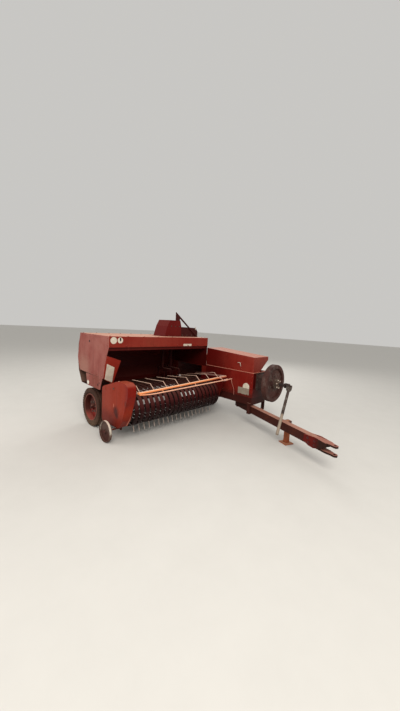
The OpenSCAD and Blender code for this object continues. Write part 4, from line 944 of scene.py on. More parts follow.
def lug_recipe() -> Recipe:
    """A block at every point, standing on its facing, long across the world's X."""
    r = Recipe("lugs", {"along_x": 0.04, "across": 0.02, "height": 0.006})
    block = r.out("GeometryNodeMeshCube", {},
                  {"Size": r.vector(r.input("along_x"), r.input("across"), r.input("height"))})
    return r.planted(r.lifted(block, r.input("height") * 0.5))


def wire_recipe() -> Recipe:
    """A round wire along the given lines, smoothed through their points."""
    r = Recipe("wires", {"radius": 0.004, "sides": 8})
    curve = r.out("GeometryNodeMeshToCurve", {}, {0: r.input("Geometry")})
    curve = r.out("GeometryNodeCurveSplineType", {"spline_type": "CATMULL_ROM"}, {"Curve": curve})
    return r.close(r.pipe(curve, r.input("radius")))


# ---- Places on the machine

# Rows of fasteners within a node: from, to, how many, the look, and its reach if not the usual one.
Runs = tuple[tuple, ...]


@dataclass(frozen=True)
class Span:
    """The low and high corner of a CAD node."""

    low: Vector
    high: Vector

    @classmethod
    def of(cls, node: str) -> "Span":
        """The corners of a node."""
        return cls(*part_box(node))

    def at(self, x: float, y: float, z: float) -> Vector:
        """The point at parts of the way from the low to the high corner."""
        size = self.high - self.low
        return self.low + Vector((size.x * x, size.y * y, size.z * z))


class Skin:
    """The surface of CAD nodes, for seating small pieces on."""

    def __init__(self) -> None:
        """Starts with no surface read."""
        self.trees: dict[str, BVHTree] = {}

    def hit(self, node: str, start: Vector, look: Vector) -> tuple[Vector, Vector] | None:
        """Where a look from a point meets a node.

        Args:
            node: The node.
            start: Where the look starts, clear of the node.
            look: The direction of the look.

        Returns:
            The point and the surface's normal, or nothing.
        """
        if node not in self.trees:
            mesh = frame["nodes"][node].data
            self.trees[node] = BVHTree.FromPolygons([v.co for v in mesh.vertices],
                                                    [p.vertices for p in mesh.polygons])
        place, normal, _, _ = self.trees[node].ray_cast(start, look.normalized())
        if place is None:
            return None
        return place, normal if normal.dot(look) < 0 else -normal


SKIN = Skin()


class Seats:
    """Places of fasteners on a node, found by looking at it from outside."""

    node: str
    look: Point
    reach: float

    def starts(self) -> list[Vector]:
        """The places before they are seated on the surface."""
        raise NotImplementedError

    def points(self) -> Places:
        """The places on the surface with their normals."""
        look = Vector(self.look)
        found = []
        for start in self.starts():
            hit = SKIN.hit(self.node, start - look * self.reach, look)
            if hit is None:
                LOG.warning("a fastener of %s found no surface", self.node)
            else:
                found.append(hit)
        return found


@dataclass(frozen=True)
class Row(Seats):
    """Fasteners in a straight row."""

    node: str
    start: Vector | Point
    end: Vector | Point
    count: int
    look: Point
    reach: float = 0.3

    @classmethod
    def within(cls, node: str, runs: Runs) -> "list[Row]":
        """Rows whose start and end are given as parts of the node's size."""
        span = Span.of(node)
        return [cls(node, span.at(*start), span.at(*end), *rest) for start, end, *rest in runs]

    def starts(self) -> list[Vector]:
        """Evenly spaced places, and the middle for a single one."""
        parts = [i / (self.count - 1) for i in range(self.count)] if self.count > 1 else [0.5]
        return [Vector(self.start).lerp(Vector(self.end), part) for part in parts]


@dataclass(frozen=True)
class Circle(Seats):
    """Fasteners in a circle about an axis along the look."""

    node: str
    centre: Vector
    radius: float
    count: int
    look: Point
    reach: float = 0.3
    start: float = 0.0

    def starts(self) -> list[Vector]:
        """Evenly spaced places."""
        look = Vector(self.look)
        side = look.orthogonal().normalized()
        turns = (self.start + FULL_TURN * i / self.count for i in range(self.count))
        return [self.centre + (Matrix.Rotation(a, 3, look) @ side) * self.radius for a in turns]


def seeds(name: str, places: Places) -> bpy.types.Mesh:
    """A mesh of loose points that carry their facing."""
    mesh = bpy.data.meshes.new(name)
    mesh.from_pydata([p for p, _ in places], [], [])
    facing = mesh.attributes.new("facing", "FLOAT_VECTOR", "POINT")
    for i, (_, normal) in enumerate(places):
        facing.data[i].vector = normal
    return mesh


def line(name: str, points: list[Vector]) -> bpy.types.Mesh:
    """A mesh of one open line through points."""
    mesh = bpy.data.meshes.new(name)
    mesh.from_pydata(points, [(i, i + 1) for i in range(len(points) - 1)], [])
    return mesh


def smoothed(mesh: bpy.types.Mesh) -> bpy.types.Mesh:
    """The mesh with smooth shading."""
    mesh.polygons.foreach_set("use_smooth", [True] * len(mesh.polygons))
    return mesh


class Loft:
    """A surface of quads between rings of points."""

    def __init__(self) -> None:
        """Starts empty."""
        self.bm = bmesh.new()
        self.rings: list[list[bmesh.types.BMVert]] = []

    def ring(self, points: list[Vector]) -> None:
        """Adds the next ring."""
        self.rings.append([self.bm.verts.new(p) for p in points])

    def join(self, low: list[bmesh.types.BMVert], high: list[bmesh.types.BMVert]) -> None:
        """Spans two rings with quads."""
        for i in range(len(low)):
            j = (i + 1) % len(low)
            self.bm.faces.new((low[i], low[j], high[j], high[i]))

    def mesh(self, name: str) -> bpy.types.Mesh:
        """Ends the surface as a mesh."""
        mesh = bpy.data.meshes.new(name)
        self.bm.to_mesh(mesh)
        self.bm.free()
        return mesh


@dataclass(frozen=True)
class Plate:
    """A thin plate on a node, with rounded corners and a bevelled edge: a label or a disc."""

    node: str
    centre: Vector
    look: Point
    width: float
    height: float
    corner: float = 0.004
    top_corner: float = 0.0
    thick: float = 0.0012
    shear: float = 0.0
    steps: int = 8
    bevel: float = 0.3
    gap: float = 0.0002
    reach: float = 0.2

    def outline(self) -> list[Pair]:
        """The plate's outline about its centre, anticlockwise."""
        w, h = self.width / 2, self.height / 2
        top = self.top_corner or self.corner
        points = []
        for sx, sy, r, begin in ((1, -1, self.corner, 270), (1, 1, top, 0), (-1, 1, top, 90),
                                 (-1, -1, self.corner, 180)):
            for i in range(self.steps + 1):
                a = math.radians(begin + 90 * i / self.steps)
                x, y = sx * (w - r) + r * math.cos(a), sy * (h - r) + r * math.sin(a)
                points.append((x, y - self.shear * x))
        return points

    def mesh(self, name: str) -> bpy.types.Mesh | None:
        """The plate as a mesh in its place, or nothing where no surface is found."""
        look = Vector(self.look)
        hit = SKIN.hit(self.node, self.centre - look * self.reach, look)
        if hit is None:
            LOG.warning("%s found no surface", name)
            return None
        place, normal = hit
        along = Vector(UP).cross(normal).normalized()
        rise = normal.cross(along)
        loft = Loft()
        for lift, inset in ((0.0, 0.0), (self.thick * (1 - self.bevel), 0.0),
                            (self.thick, self.thick * self.bevel)):
            wide, high = 1 - 2 * inset / self.width, 1 - 2 * inset / self.height
            loft.ring([place + along * (x * wide) + rise * (y * high) + normal * (lift + self.gap)
                       for x, y in self.outline()])
        for low, high in zip(loft.rings, loft.rings[1:]):
            loft.join(low, high)
        loft.bm.faces.new(loft.rings[-1])
        loft.bm.faces.new(list(reversed(loft.rings[0])))
        return loft.mesh(name)


def turned(name: str, outline: list[Pair], centre: Vector, steps: int) -> bpy.types.Mesh:
    """A closed outline turned about an axis along X.

    Args:
        name: The mesh's name.
        outline: Points (x, radius) in metres, clockwise where x runs right and radius up.
        centre: Where x = 0 of the axis lies.
        steps: How many steps the turn has.

    Returns:
        The mesh, smooth shaded.
    """
    loft = Loft()
    for k in range(steps):
        a = FULL_TURN * k / steps
        loft.ring([centre + Vector((x, r * math.cos(a), r * math.sin(a))) for x, r in outline])
    for k in range(steps):
        loft.join(loft.rings[k], loft.rings[(k + 1) % steps])
    bmesh.ops.recalc_face_normals(loft.bm, faces=loft.bm.faces)
    return smoothed(loft.mesh(name))


# ---- Sub-assemblies

@dataclass
class Assembly:
    """A group of pieces that one class of the machine adds to its CAD nodes."""

    shop: Workshop

    def grow(self, recipe: Recipe, name: str, start: bpy.types.Mesh, body: str, slot: str,
             finish: Finish, values: dict[str, float | int], smooth: bool = False) -> None:
        """Adds the shapes of a recipe as one piece.

        Args:
            recipe: What grows.
            name: The piece's name.
            start: The points or the line that it grows on.
            body: The body it moves with.
            slot: The record's slot; not used.
            finish: Its finish.
            values: Numbers for the recipe's inputs.
            smooth: Whether it is smooth shaded.
        """
        mesh = recipe.bake(name, start, self.shop.material(finish), values)
        self.shop.piece(name, smoothed(mesh) if smooth else mesh, body, finish, slot)

    def bolts(self, name: str, slot: str, rows: list[Row | Circle], head: Head = BOLT_M10,
              finish: Finish = Finish.BOLT, body: str = "baler") -> None:
        """Adds fasteners in rows and circles as one piece."""
        places = [place for row in rows for place in row.points()]
        self.grow(self.shop.fasteners, name, seeds(name, places), body, slot, finish,
                  {**asdict(head), "seed": len(places)})

    def wire(self, name: str, slot: str, points: list[Vector], radius: float, finish: Finish,
             body: str = "baler") -> None:
        """Adds a bent wire through points."""
        self.grow(self.shop.wires, name, line(name, points), body, slot, finish,
                  {"radius": radius}, True)

    def coils(self, name: str, body: str, slot: str, places: Places, spring: Spring,
              finish: Finish) -> None:
        """Adds coils of wire at places as one piece."""
        self.grow(self.shop.coils, name, seeds(name, places), body, slot, finish, asdict(spring),
                  True)

    def plate(self, name: str, slot: str, finish: Finish, plate: Plate) -> None:
        """Adds a label, a disc or a hole on the baler's body."""
        mesh = plate.mesh(name)
        if mesh is not None:
            self.shop.piece(name, mesh, "baler", finish, slot)

    def disc(self, name: str, slot: str, finish: Finish, node: str, centre: Vector, look: Point,
             size: Pair, thick: float = 0.0012) -> None:
        """Adds a plate with fully round ends."""
        self.plate(name, slot, finish, Plate(node, centre, look, *size, round_corner(min(size)),
                                             thick=thick))


def round_corner(size: float) -> float:
    """The corner radius that rounds a side of this size, short of a doubled point."""
    return size / 2 - 0.0001


@dataclass(frozen=True)
class TyreForm:
    """A ribbed tyre, as parts of its CAD node's size."""

    body: str
    node: str
    rim_part: float
    ribs: int = 4
    groove: float = 0.012
    groove_w: float = 0.010
    groove_slope: float = 0.0015
    shoulder_lugs: int = 44
    tread_part: float = 0.70
    drop: float = 0.006
    crown: float = 0.002
    wall_part: float = 0.80

    def outline(self, r: float, w: float) -> list[Pair]:
        """The section: beads, bulged walls with a ring, shoulders and the tread with its grooves.

        Args:
            r: The tyre's radius.
            w: Its width.

        Returns:
            Points (x, radius) from the right bead round to the left one.
        """
        bead, wall = r * self.rim_part, r * self.wall_part
        rib = (w * self.tread_part - self.groove_w * (self.ribs - 1)) / self.ribs
        flank = [(0.12, bead), (0.075, bead + 0.012), (0.045, bead + 0.03)]
        ring = [(0.012, wall - 0.014), (0.004, wall - 0.008), (0.004, wall - 0.003), (0.012, wall),
                (0.004, wall + 0.02)]
        shoulder = [(0.03, r * 0.935), (0.09, r * 0.972)]
        side = [(w * part, y) for part, y in flank + ring + shoulder]
        points = list(side)
        for i in range(self.ribs):
            x = w * (1 - self.tread_part) / 2 + i * (rib + self.groove_w)
            crown = r - self.drop - self.crown * abs(i - (self.ribs - 1) / 2) ** 2
            points += [(x, crown), (x + rib, crown)]
            if i < self.ribs - 1:
                points += [(x + rib + self.groove_slope, crown - self.groove),
                           (x + rib + self.groove_w - self.groove_slope, crown - self.groove)]
        return points + [(w - x, y) for x, y in reversed(side)]


@dataclass
class Wheels(Assembly):
    """Tyres with ribs and lugs, and the nuts and valves of the rims."""

    forms: tuple[TyreForm, ...] = (TyreForm("right_wheel", "right_tyre", 0.66),
                                   TyreForm("left_wheel", "left_tyre", 0.60))
    steps: int = 96
    shoulder: float = 0.125
    lug_part: float = 0.14
    lug_across: float = 0.020
    lug_h: float = 0.012
    lug_sunk: float = 0.0155
    nuts: int = 6
    nut_circle: float = 0.40
    valve_circle: float = 0.86
    valve_in: float = 0.03
    valve_bend: tuple[Point, ...] = ((0.05, 0, 0.01), (0.02, 0, 0), (-0.012, 0, -0.008))
    valve_r: float = 0.004

    def tyre(self, form: TyreForm) -> None:
        """Makes one tyre in place of its CAD node, with lugs on the shoulders."""
        span = Span.of(form.node)
        size = span.high - span.low
        w, r = size.x, size.z / 2
        centre = span.at(0.0, 0.5, 0.5)
        tyre = self.shop.piece(form.node + "_ribbed",
                               turned(form.node, form.outline(r, w), centre, self.steps),
                               form.body, Finish.RUBBER, "rubber")
        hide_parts(form.node)
        places = []
        for side, lead in ((self.shoulder, 0.0), (1 - self.shoulder, 0.5)):
            for i in range(form.shoulder_lugs):
                a = FULL_TURN * (i + lead) / form.shoulder_lugs
                out = Vector((0.0, math.cos(a), math.sin(a)))
                places.append((centre + Vector((w * side, 0, 0)) + out * (r - self.lug_sunk), out))
        name = form.node + "_lugs"
        self.grow(self.shop.lugs, name, seeds(name, places), form.body, "rubber", Finish.RUBBER, {
            "along_x": w * self.lug_part, "across": self.lug_across, "height": self.lug_h})

    def rim(self, side: str, look: float) -> None:
        """Adds the nuts and the valve of a rim; look is +1 for the right and -1 for the left."""
        node, body = side + "_rim", side + "_wheel"
        span = Span.of(node)
        r = (span.high.z - span.low.z) / 2
        outer = span.at(0.0 if look > 0 else 1.0, 0.5, 0.5)
        self.bolts(body + "_nuts", "rim_red",
                   [Circle(node, outer, r * self.nut_circle, self.nuts, (look, 0, 0))], BOLT_M16,
                   body=body)
        valve = outer + Vector((look * self.valve_in, 0, r * self.valve_circle))
        self.wire(side + "_valve", "rubber",
                  [valve + Vector((look * x, y, z)) for x, y, z in self.valve_bend], self.valve_r,
                  Finish.RUBBER, body)

    def build(self) -> None:
        """Makes both tyres and the rims' nuts."""
        for form in self.forms:
            self.tyre(form)
        self.rim("right", 1.0)
        self.rim("left", -1.0)


@dataclass
class Feeder(Assembly):
    """Bolts, blank discs and plates of the hood, the end panels and the packer.

    Places on the end panel and the fascia are measured from the end panel's front corner under the
    roof: how far back or across, and how far down.
    """

    edge: float = 0.030
    roof_seam: float = 0.95
    fascia_seam: float = 0.142
    side_from: float = 0.15
    panel_rows: tuple[tuple[Pair, Pair, int], ...] = (
        ((0.05, 0.03), (0.95, 0.03), 6), ((0.03, 0.13), (0.13, 0.43), 3),
        ((0.20, 0.60), (0.70, 0.60), 4))
    low_panel_rows: Runs = (((0, 0.16, 0.82), (0, 0.76, 0.82), 3, INWARD),)
    latch: Pair = (0.637, 0.115)
    latch_size: Pair = (0.036, 0.036)
    slot: Pair = (0.139, 0.066)
    slot_size: Pair = (0.026, 0.034)
    lens_r: float = 0.031
    lens_wire: float = 0.003
    lens_steps: int = 20
    discs: tuple[tuple[str, str, Finish, Pair, Pair, float], ...] = (
        ("fascia_disc_large", "lens", Finish.LABEL, (0.075, 0.059), (0.100, 0.100), 0.0012),
        ("fascia_disc_small", "lens", Finish.LABEL, (0.179, 0.057), (0.086, 0.086), 0.0012),
        ("fascia_disc_spot", "rubber", Finish.SHADE_AND_MARK, (0.181, 0.045), (0.024, 0.052), 0.0022))
    strip: Pair = (0.542, 0.134)
    strip_size: Pair = (0.200, 0.038)
    wing_label: Point = (0.087, -0.040, 0.182)
    wing_label_size: Pair = (0.128, 0.250)
    wing_label_shear: float = 0.52
    wing_rows: Runs = (((0.05, 0, 0.92), (0.05, 0, 0.35), 3, BACK, 0.1),
                       ((0.85, 0, 0.72), (0.68, 0, 0.15), 2, BACK, 0.1))
    flange: float = 0.012
    foot_ends: Pair = (0.03, 0.02)
    top_ends: Pair = (0.08, 0.05)
    top_rise: float = 0.19
    oiler: tuple[Point, ...] = (
        (-0.078, 0.005, 0.143), (-0.079, 0.005, 0.183), (-0.082, 0.005, 0.203))
    oiler_r: float = 0.006

    def corner(self) -> Vector:
        """The front corner of the end panel, at the height of the roof."""
        panel = Span.of("end_panel")
        return Vector((panel.low.x, panel.low.y, Span.of("feeder_hood").high.z))

    def build(self) -> None:
        """Adds the pieces."""
        self.hood_bolts()
        self.panel_bolts()
        self.fascia()
        self.wing()
        self.packer()

    def hood_bolts(self) -> None:
        """Bolts along the fascia and the seams of the roof."""
        _, y, z = self.corner()
        x0 = Span.of("end_panel").high.x + self.edge
        x1 = Span.of("feeder_hood").high.x - self.edge
        middle_x = Span.of("packer_cover").low.x
        front, seam, fascia = y + self.edge, y + self.roof_seam, z - self.fascia_seam
        self.bolts("hood_bolts", "hood_red", [
            Row("feeder_hood", (x0, y, fascia), (x1, y, fascia), 9, BACK),
            Row("feeder_hood", (x0, front, z), (middle_x, front, z), 5, DOWN),
            Row("feeder_hood", (x0, seam, z), (x1, seam, z), 10, DOWN),
            Row("feeder_hood", (x1, y + self.side_from, z), (x1, seam, z), 5, DOWN),
        ], BOLT_M8, Finish.HOOD)

    def panel_bolts(self) -> None:
        """Bolts of both end panels, their latch holes and the reflector's rim."""
        x, y, z = self.corner()
        rows = [Row("end_panel", (x, y + back, z - down), (x, y + far, z - low), count, INWARD)
                for (back, down), (far, low), count in self.panel_rows]
        rows += Row.within("lower_end_panel", self.low_panel_rows)
        self.bolts("end_panel_bolts", "panel_pink", rows, BOLT_M8, Finish.PANEL)
        # Dark discs as painted shade in the latch holes.
        self.disc("latch_hole", "rubber", Finish.SHADE_AND_MARK, "end_panel",
                  Vector((x, y + self.latch[0], z - self.latch[1])), INWARD, self.latch_size)
        self.disc("latch_hole_low", "rubber", Finish.SHADE_AND_MARK, "lower_end_panel",
                  Span.of("lower_end_panel").low + Vector((0, *self.slot)), INWARD, self.slot_size)
        lens = Span.of("reflector").at(0.0, 0.5, 0.5) + Vector((self.lens_wire, 0, 0))
        turns = (FULL_TURN * i / self.lens_steps for i in range(self.lens_steps + 1))
        self.wire("reflector_rim", "panel_pink",
                  [lens + Vector((0, self.lens_r * math.cos(a), self.lens_r * math.sin(a)))
                   for a in turns], self.lens_wire, Finish.PALE)

    def fascia(self) -> None:
        """Blank discs and a blank strip on the fascia."""
        corner = self.corner()
        for name, slot, finish, (across, down), size, thick in self.discs:
            self.disc(name, slot, finish, "feeder_hood", corner + Vector((across, 0, -down)), BACK,
                      size, thick)
        left = Span.of("feeder_hood").high.x
        self.plate("fascia_plate", "lens", Finish.LABEL, Plate(
            "feeder_hood", Vector((left - self.strip[0], corner.y, corner.z - self.strip[1])), BACK,
            *self.strip_size, 0.003))

    def wing(self) -> None:
        """The blank label and the bolts of the wing plate."""
        self.plate("wing_label", "lens", Finish.LABEL, Plate(
            "wing_plate", Span.of("wing_plate").low + Vector(self.wing_label), BACK,
            *self.wing_label_size, shear=self.wing_label_shear))
        self.bolts("wing_bolts", "bright_red", Row.within("wing_plate", self.wing_rows), BOLT_M8,
                   Finish.WING)

    def packer(self) -> None:
        """Bolts of the packer's covers, and the oiler's pipe."""
        cover, drive = Span.of("packer_cover"), Span.of("packer_drive")
        foot = cover.low + Vector((0, self.flange, 0))
        end = Vector((cover.high.x, foot.y, foot.z))
        far = Vector((drive.high.x, foot.y, foot.z))
        rise = Vector((0, 0, self.top_rise))
        near_in, far_in = self.foot_ends
        top_in, top_out = self.top_ends
        self.bolts("packer_bolts", "packer_red", [
            Row("packer_cover", foot + Vector((near_in, 0, 0)), end - Vector((far_in, 0, 0)), 6,
                DOWN),
            Row("packer_cover", foot + rise + Vector((top_in, -self.flange, 0)),
                end + rise - Vector((top_out, self.flange, 0)), 4, BACK),
            Row("packer_drive",
                end + Vector((top_out, -self.flange, 0)) + Vector((0, 0, self.edge)),
                far - Vector((top_out, self.flange, -self.edge)), 4, BACK),
        ], BOLT_M8)
        corner = Vector((drive.high.x, drive.low.y, drive.low.z))
        self.wire("packer_oiler", "packer_red", [corner + Vector(p) for p in self.oiler],
                  self.oiler_r, Finish.LABEL)


@dataclass
class Housing(Assembly):
    """Hook, blank labels and bolts of the plunger housing, its cover and the gearbox."""

    inset: float = 0.020
    foot: float = 0.035
    foot_row: Pair = (0.1, 0.05)
    front_row: Point = (0.02, 0.025, 0.09)
    cover_row: Point = (0.06, 0.04, 0.03)
    gear_rows: Runs = (((0.045, 0, 0.06), (0.045, 0, 0.9), 4, BACK),
                       ((0.94, 0, 0.06), (0.94, 0, 0.9), 4, BACK))
    gear_circles: Pair = (0.075, 0.05)
    side_middle: float = 0.44
    hook: tuple[Pair, ...] = ((0.326, 0.143), (0.324, 0.147), (0.296, 0.154), (0.268, 0.143),
                              (0.262, 0.107), (0.262, 0.089))
    hook_out: float = 0.022
    hook_end_out: float = 0.006
    hook_r: float = 0.005
    label: Pair = (0.146, 0.178)
    label_size: Pair = (0.135, 0.130)
    nameplate: Pair = (0.196, 0.094)
    nameplate_size: Pair = (0.235, 0.115)
    nameplate_thick: float = 0.0018

    def build(self) -> None:
        """Adds the pieces."""
        box, cover, gear = Span.of("plunger_housing"), Span.of("housing_cover"), Span.of("gearbox")
        x, y0, y1 = box.low.x, box.low.y + self.inset, cover.high.y
        z0, z1 = box.low.z + self.foot, box.high.z
        right = cover.high.x
        ahead, behind = self.foot_row
        inset, low, high = self.front_row
        front = y0 + inset
        self.bolts("housing_bolts", "housing_red", [
            Row("plunger_housing", (x, y0 + ahead, z0), (x, y1 - behind, z0), 8, INWARD),
            Row("plunger_housing", (x, front, z0 + low), (x, front, z1 - high), 4, INWARD),
            Row("plunger_housing", (right, y0 + ahead, z0), (right, y1 - behind, z0), 6, OUTWARD),
        ], finish=Finish.HOUSING)
        front_circle, side_circle = self.gear_circles
        self.bolts("gearbox_bolts", "rusty_iron", [
            *Row.within("gearbox", self.gear_rows),
            Circle("gearbox", gear.at(0.5, 0, 0.5), front_circle, 6, BACK),
            Circle("gearbox", gear.at(1.0, self.side_middle, 0.5), side_circle, 6, OUTWARD),
        ])
        last = len(self.hook) - 1
        self.wire("cover_hook", "housing_red", [
            Vector((cover.low.x - (self.hook_end_out if i in (0, last) else self.hook_out),
                    cover.low.y + y, cover.low.z + z))
            for i, (y, z) in enumerate(self.hook)], self.hook_r, Finish.WIRE, "cover")
        self.plate("housing_label", "lens", Finish.LABEL, Plate(
            "plunger_housing", box.low + Vector((0, *self.label)), INWARD, *self.label_size, 0.004,
            round_corner(self.label_size[0])))
        self.plate("housing_plate", "rusty_iron", Finish.LABEL_GREY, Plate(
            "plunger_housing", box.low + Vector((0, *self.nameplate)), INWARD, *self.nameplate_size,
            thick=self.nameplate_thick))
        ahead, behind, up = self.cover_row
        self.bolts("cover_bolts", "housing_red", [
            Row("housing_cover", (x, y0 + ahead, z1 + up), (x, y1 - behind, z1 + up), 6, INWARD),
        ], BOLT_M8, Finish.HOUSING, "cover")


@dataclass
class Pickup(Assembly):
    """Coils of the tines, bolts of the plates, and the ties and the brace of the windguard."""

    bars: int = 5
    bar_circle: float = 0.175
    tine_gap: float = 0.020
    tip_slack: float = 0.0006
    shield_bolt: Pair = (0.056, 0.318)
    bearing_circle: float = 0.060
    rivet_inset: Pair = (0.05, 0.015)
    rivets: int = 20
    coil: Spring = Spring(3.0, 0.0165, 0.0034, 0.026)
    coil_shift: float = 0.0035
    rail_tie: Point = (1.712, 0.0636, 0.2809)
    rail_run: Point = (1.585, -0.060, 0.051)
    rail_wrap: Spring = Spring(2.5, 0.0105, 0.0050, 0.026, 12, 6)
    tube_tie: Point = (1.665, 0.1362, 0.3189)
    tube_run: Point = (1.830, 0.0, 0.058)
    tube_wrap: Spring = Spring(2.0, 0.0185, 0.0045, 0.024, 14, 6)
    rail_brace: tuple[Point, ...] = (
        (0.3225, 0.1152, 0.2357), (0.190, 0.1160, 0.2365), (0.0100, 0.1240, 0.2480))
    brace_r: float = 0.0085

    def build(self) -> None:
        """Adds the pieces."""
        axis, bands, guard = Vector(REEL), Span.of("strippers"), Span.of("windguard").low
        back, up = self.shield_bolt
        place = (SHIELD_SIDE, axis.y + back, axis.z + up)
        self.bolts("shield_bolts", "shield_orange", [Row("pickup_shield", place, place, 1, INWARD)],
                   body="pickup")
        self.bolts("reel_bearing_bolts", "pickup_red", [
            Circle("pickup_frame", Vector((Span.of("pickup_frame").high.x, axis.y, axis.z)),
                   self.bearing_circle, 4, OUTWARD, start=0.6)], body="pickup")
        rear = bands.high - Vector((*self.rivet_inset, 0))
        self.bolts("stripper_bolts", "chamber_red", [
            Row("strippers", (bands.low.x + self.rivet_inset[0], rear.y, rear.z), rear, self.rivets,
                DOWN)], RIVET, body="pickup")
        self.tine_coils(axis)
        for name, tie, run, wrap in (("rail_tie", self.rail_tie, self.rail_run, self.rail_wrap),
                                     ("tube_tie", self.tube_tie, self.tube_run, self.tube_wrap)):
            self.coils(name, "guard", "windguard_orange",
                       [(guard + Vector(tie), Vector(run).normalized())], wrap, Finish.TIE)
        self.wire("rail_brace", "windguard_orange", [guard + Vector(p) for p in self.rail_brace],
                  self.brace_r, Finish.GUARD, "guard")

    def tine_coils(self, axis: Vector) -> None:
        """Adds a coil around the bar at the foot of each tine."""
        points = [v.co for v in frame["nodes"]["pickup_reel"].data.vertices]
        tip = max((p - axis).yz.length for p in points) - self.tip_slack
        rows: list[float] = []
        for x in sorted({round(p.x, 3) for p in points if (p - axis).yz.length > tip}):
            if not rows or x - rows[-1] > self.tine_gap:
                rows.append(x)
        places = []
        for b in range(self.bars):
            a = math.pi + FULL_TURN * b / self.bars
            foot = axis + Vector((0.0, math.cos(a), math.sin(a))) * self.bar_circle
            places += [(Vector((x + self.coil_shift, foot.y, foot.z)), Vector(INWARD))
                       for x in rows]
        self.coils("tine_coils", "reel", "bare_steel", places, self.coil, Finish.TINES)


@dataclass
class Drive(Assembly):
    """Springs and nuts of the slip clutch, and the flywheel's bolts."""

    clutch_circle: float = 0.066
    wheel_circle: float = 0.120
    count: int = 6
    spring: Spring = Spring(3.5, 0.0105, 0.0020, 0.012)
    spring_depth: float = 0.036

    def build(self) -> None:
        """Adds the pieces."""
        clutch, wheel = Span.of("slip_clutch"), Span.of("flywheel")
        centre = clutch.at(0.5, 0, 0.5)
        face = Vector((centre.x, wheel.low.y, centre.z))
        self.bolts("clutch_nuts", "rusty_iron", [
            Circle("slip_clutch", centre, self.clutch_circle, self.count, BACK),
        ], CLUTCH_NUT, Finish.WIRE, "fly")
        self.bolts("flywheel_bolts", "rusty_iron", [
            Circle("flywheel", face, self.wheel_circle, self.count, BACK, start=0.3),
        ], BOLT_M16, body="fly")
        r, y = self.clutch_circle, clutch.high.y - self.spring_depth
        turns = (FULL_TURN * i / self.count for i in range(self.count))
        places = [(Vector((centre.x + r * math.cos(a), y, centre.z + r * math.sin(a))),
                   Vector(BACK)) for a in turns]
        self.coils("clutch_springs", "fly", "rusty_iron", places, self.spring, Finish.STEEL)


@dataclass
class Hitch(Assembly):
    """Bolts of the hitch and the pin of the stand, placed along and beside the slanting drawbar."""

    jaw_half: float = 0.060
    upper: Pair = (0.400, 0.025)
    lower: Pair = (0.380, -0.030)
    last: float = 0.290
    sleeve: Point = (1.215, 0.2, 0.01)

    def build(self) -> None:
        """Adds the pieces."""
        pivot_at, jaw, bar = Vector(DRAWBAR_PIVOT), Span.of("hitch_jaw"), Span.of("drawbar")
        lean = math.atan2(pivot_at.x - jaw.low.x - self.jaw_half, pivot_at.y - jaw.low.y)
        ahead = Vector((-math.sin(lean), -math.cos(lean), 0.0))
        across = Vector((math.cos(lean), -math.sin(lean), 0.0))
        z = (bar.low.z + bar.high.z) / 2
        end = (jaw.low - pivot_at).xy.length

        def at(along: float, out: float, rise: float) -> Vector:
            """A point by the beam: how far from the pivot, how far to its left, and how far up."""
            return Vector((pivot_at.x, pivot_at.y, z + rise)) + ahead * along + across * out

        self.bolts("hitch_bolts", "pickup_red", [
            Row("hitch_jaw", at(end - first, side * self.jaw_half, rise),
                at(end - self.last, side * self.jaw_half, rise), 2, tuple(across * -side), 0.1)
            for side in (-1.0, 1.0) for first, rise in (self.upper, self.lower)
        ], BOLT_M16, Finish.JAW_BOLT, "bar")
        pin = at(*self.sleeve)
        self.bolts("stand_pin", "pickup_red", [Row("drawbar", pin, pin, 1, tuple(-across), 0.1)],
                   STAND_PIN, body="bar")


@dataclass
class Chamber(Assembly):
    """Bolts of the chamber, the knotter, the twine box and the chute.

    The chamber's own bolts stay ahead of the chute, which sweeps its sides when it folds up.
    """

    width: float = 0.460
    floor_up: float = 0.021
    rail_rises: tuple[float, ...] = (0.05, 0.22, 0.39)
    rear_inset: float = 0.066
    ahead: Pair = (0.30, 0.18)
    aside: float = 0.050
    twine_rows: Runs = (((1.0, 0.08, 0.12), (1.0, 0.92, 0.12), 4, OUTWARD),
                        ((0.3, 0.0, 0.12), (0.8, 0.0, 0.12), 2, BACK))
    chute_rows: Runs = (((0.0, 0.15, 0.2), (0.0, 0.95, 0.2), 5, INWARD),
                        ((1.0, 0.15, 0.2), (1.0, 0.95, 0.2), 5, OUTWARD))
    stand_rows: Runs = (((0.0, 0.10, 0.1), (0.0, 0.85, 0.1), 4, INWARD),
                        ((1.0, 0.10, 0.1), (1.0, 0.85, 0.1), 4, OUTWARD))

    def build(self) -> None:
        """Adds the pieces."""
        box, x0 = Span.of("bale_chamber"), Span.of("knotter_stand").low.x
        y, z0 = box.high.y - self.rear_inset, box.low.z + self.floor_up
        self.bolts("chamber_bolts", "chamber_red", [
            Row("bale_chamber", *((x, y - back, z0 + rise) for back in self.ahead), 2, look,
                self.aside)
            for x, look in ((x0 - self.aside, INWARD), (x0 + self.width + self.aside, OUTWARD))
            for rise in self.rail_rises])
        self.bolts("twine_box_bolts", "housing_red", Row.within("twine_box", self.twine_rows),
                   BOLT_M8)
        self.bolts("chute_bolts", "chamber_red", Row.within("bale_chute", self.chute_rows), BOLT_M8,
                   body="chute")
        self.bolts("knotter_bolts", "chamber_red", Row.within("knotter_stand", self.stand_rows))


# ---- Camera, light and floor

@dataclass(frozen=True)
class Lamp:
    """A soft square lamp: where it hangs, its side in metres, its power in watts and its colour."""

    name: str
    place: Point
    power: float
    color: Color
    size: float = 5.0


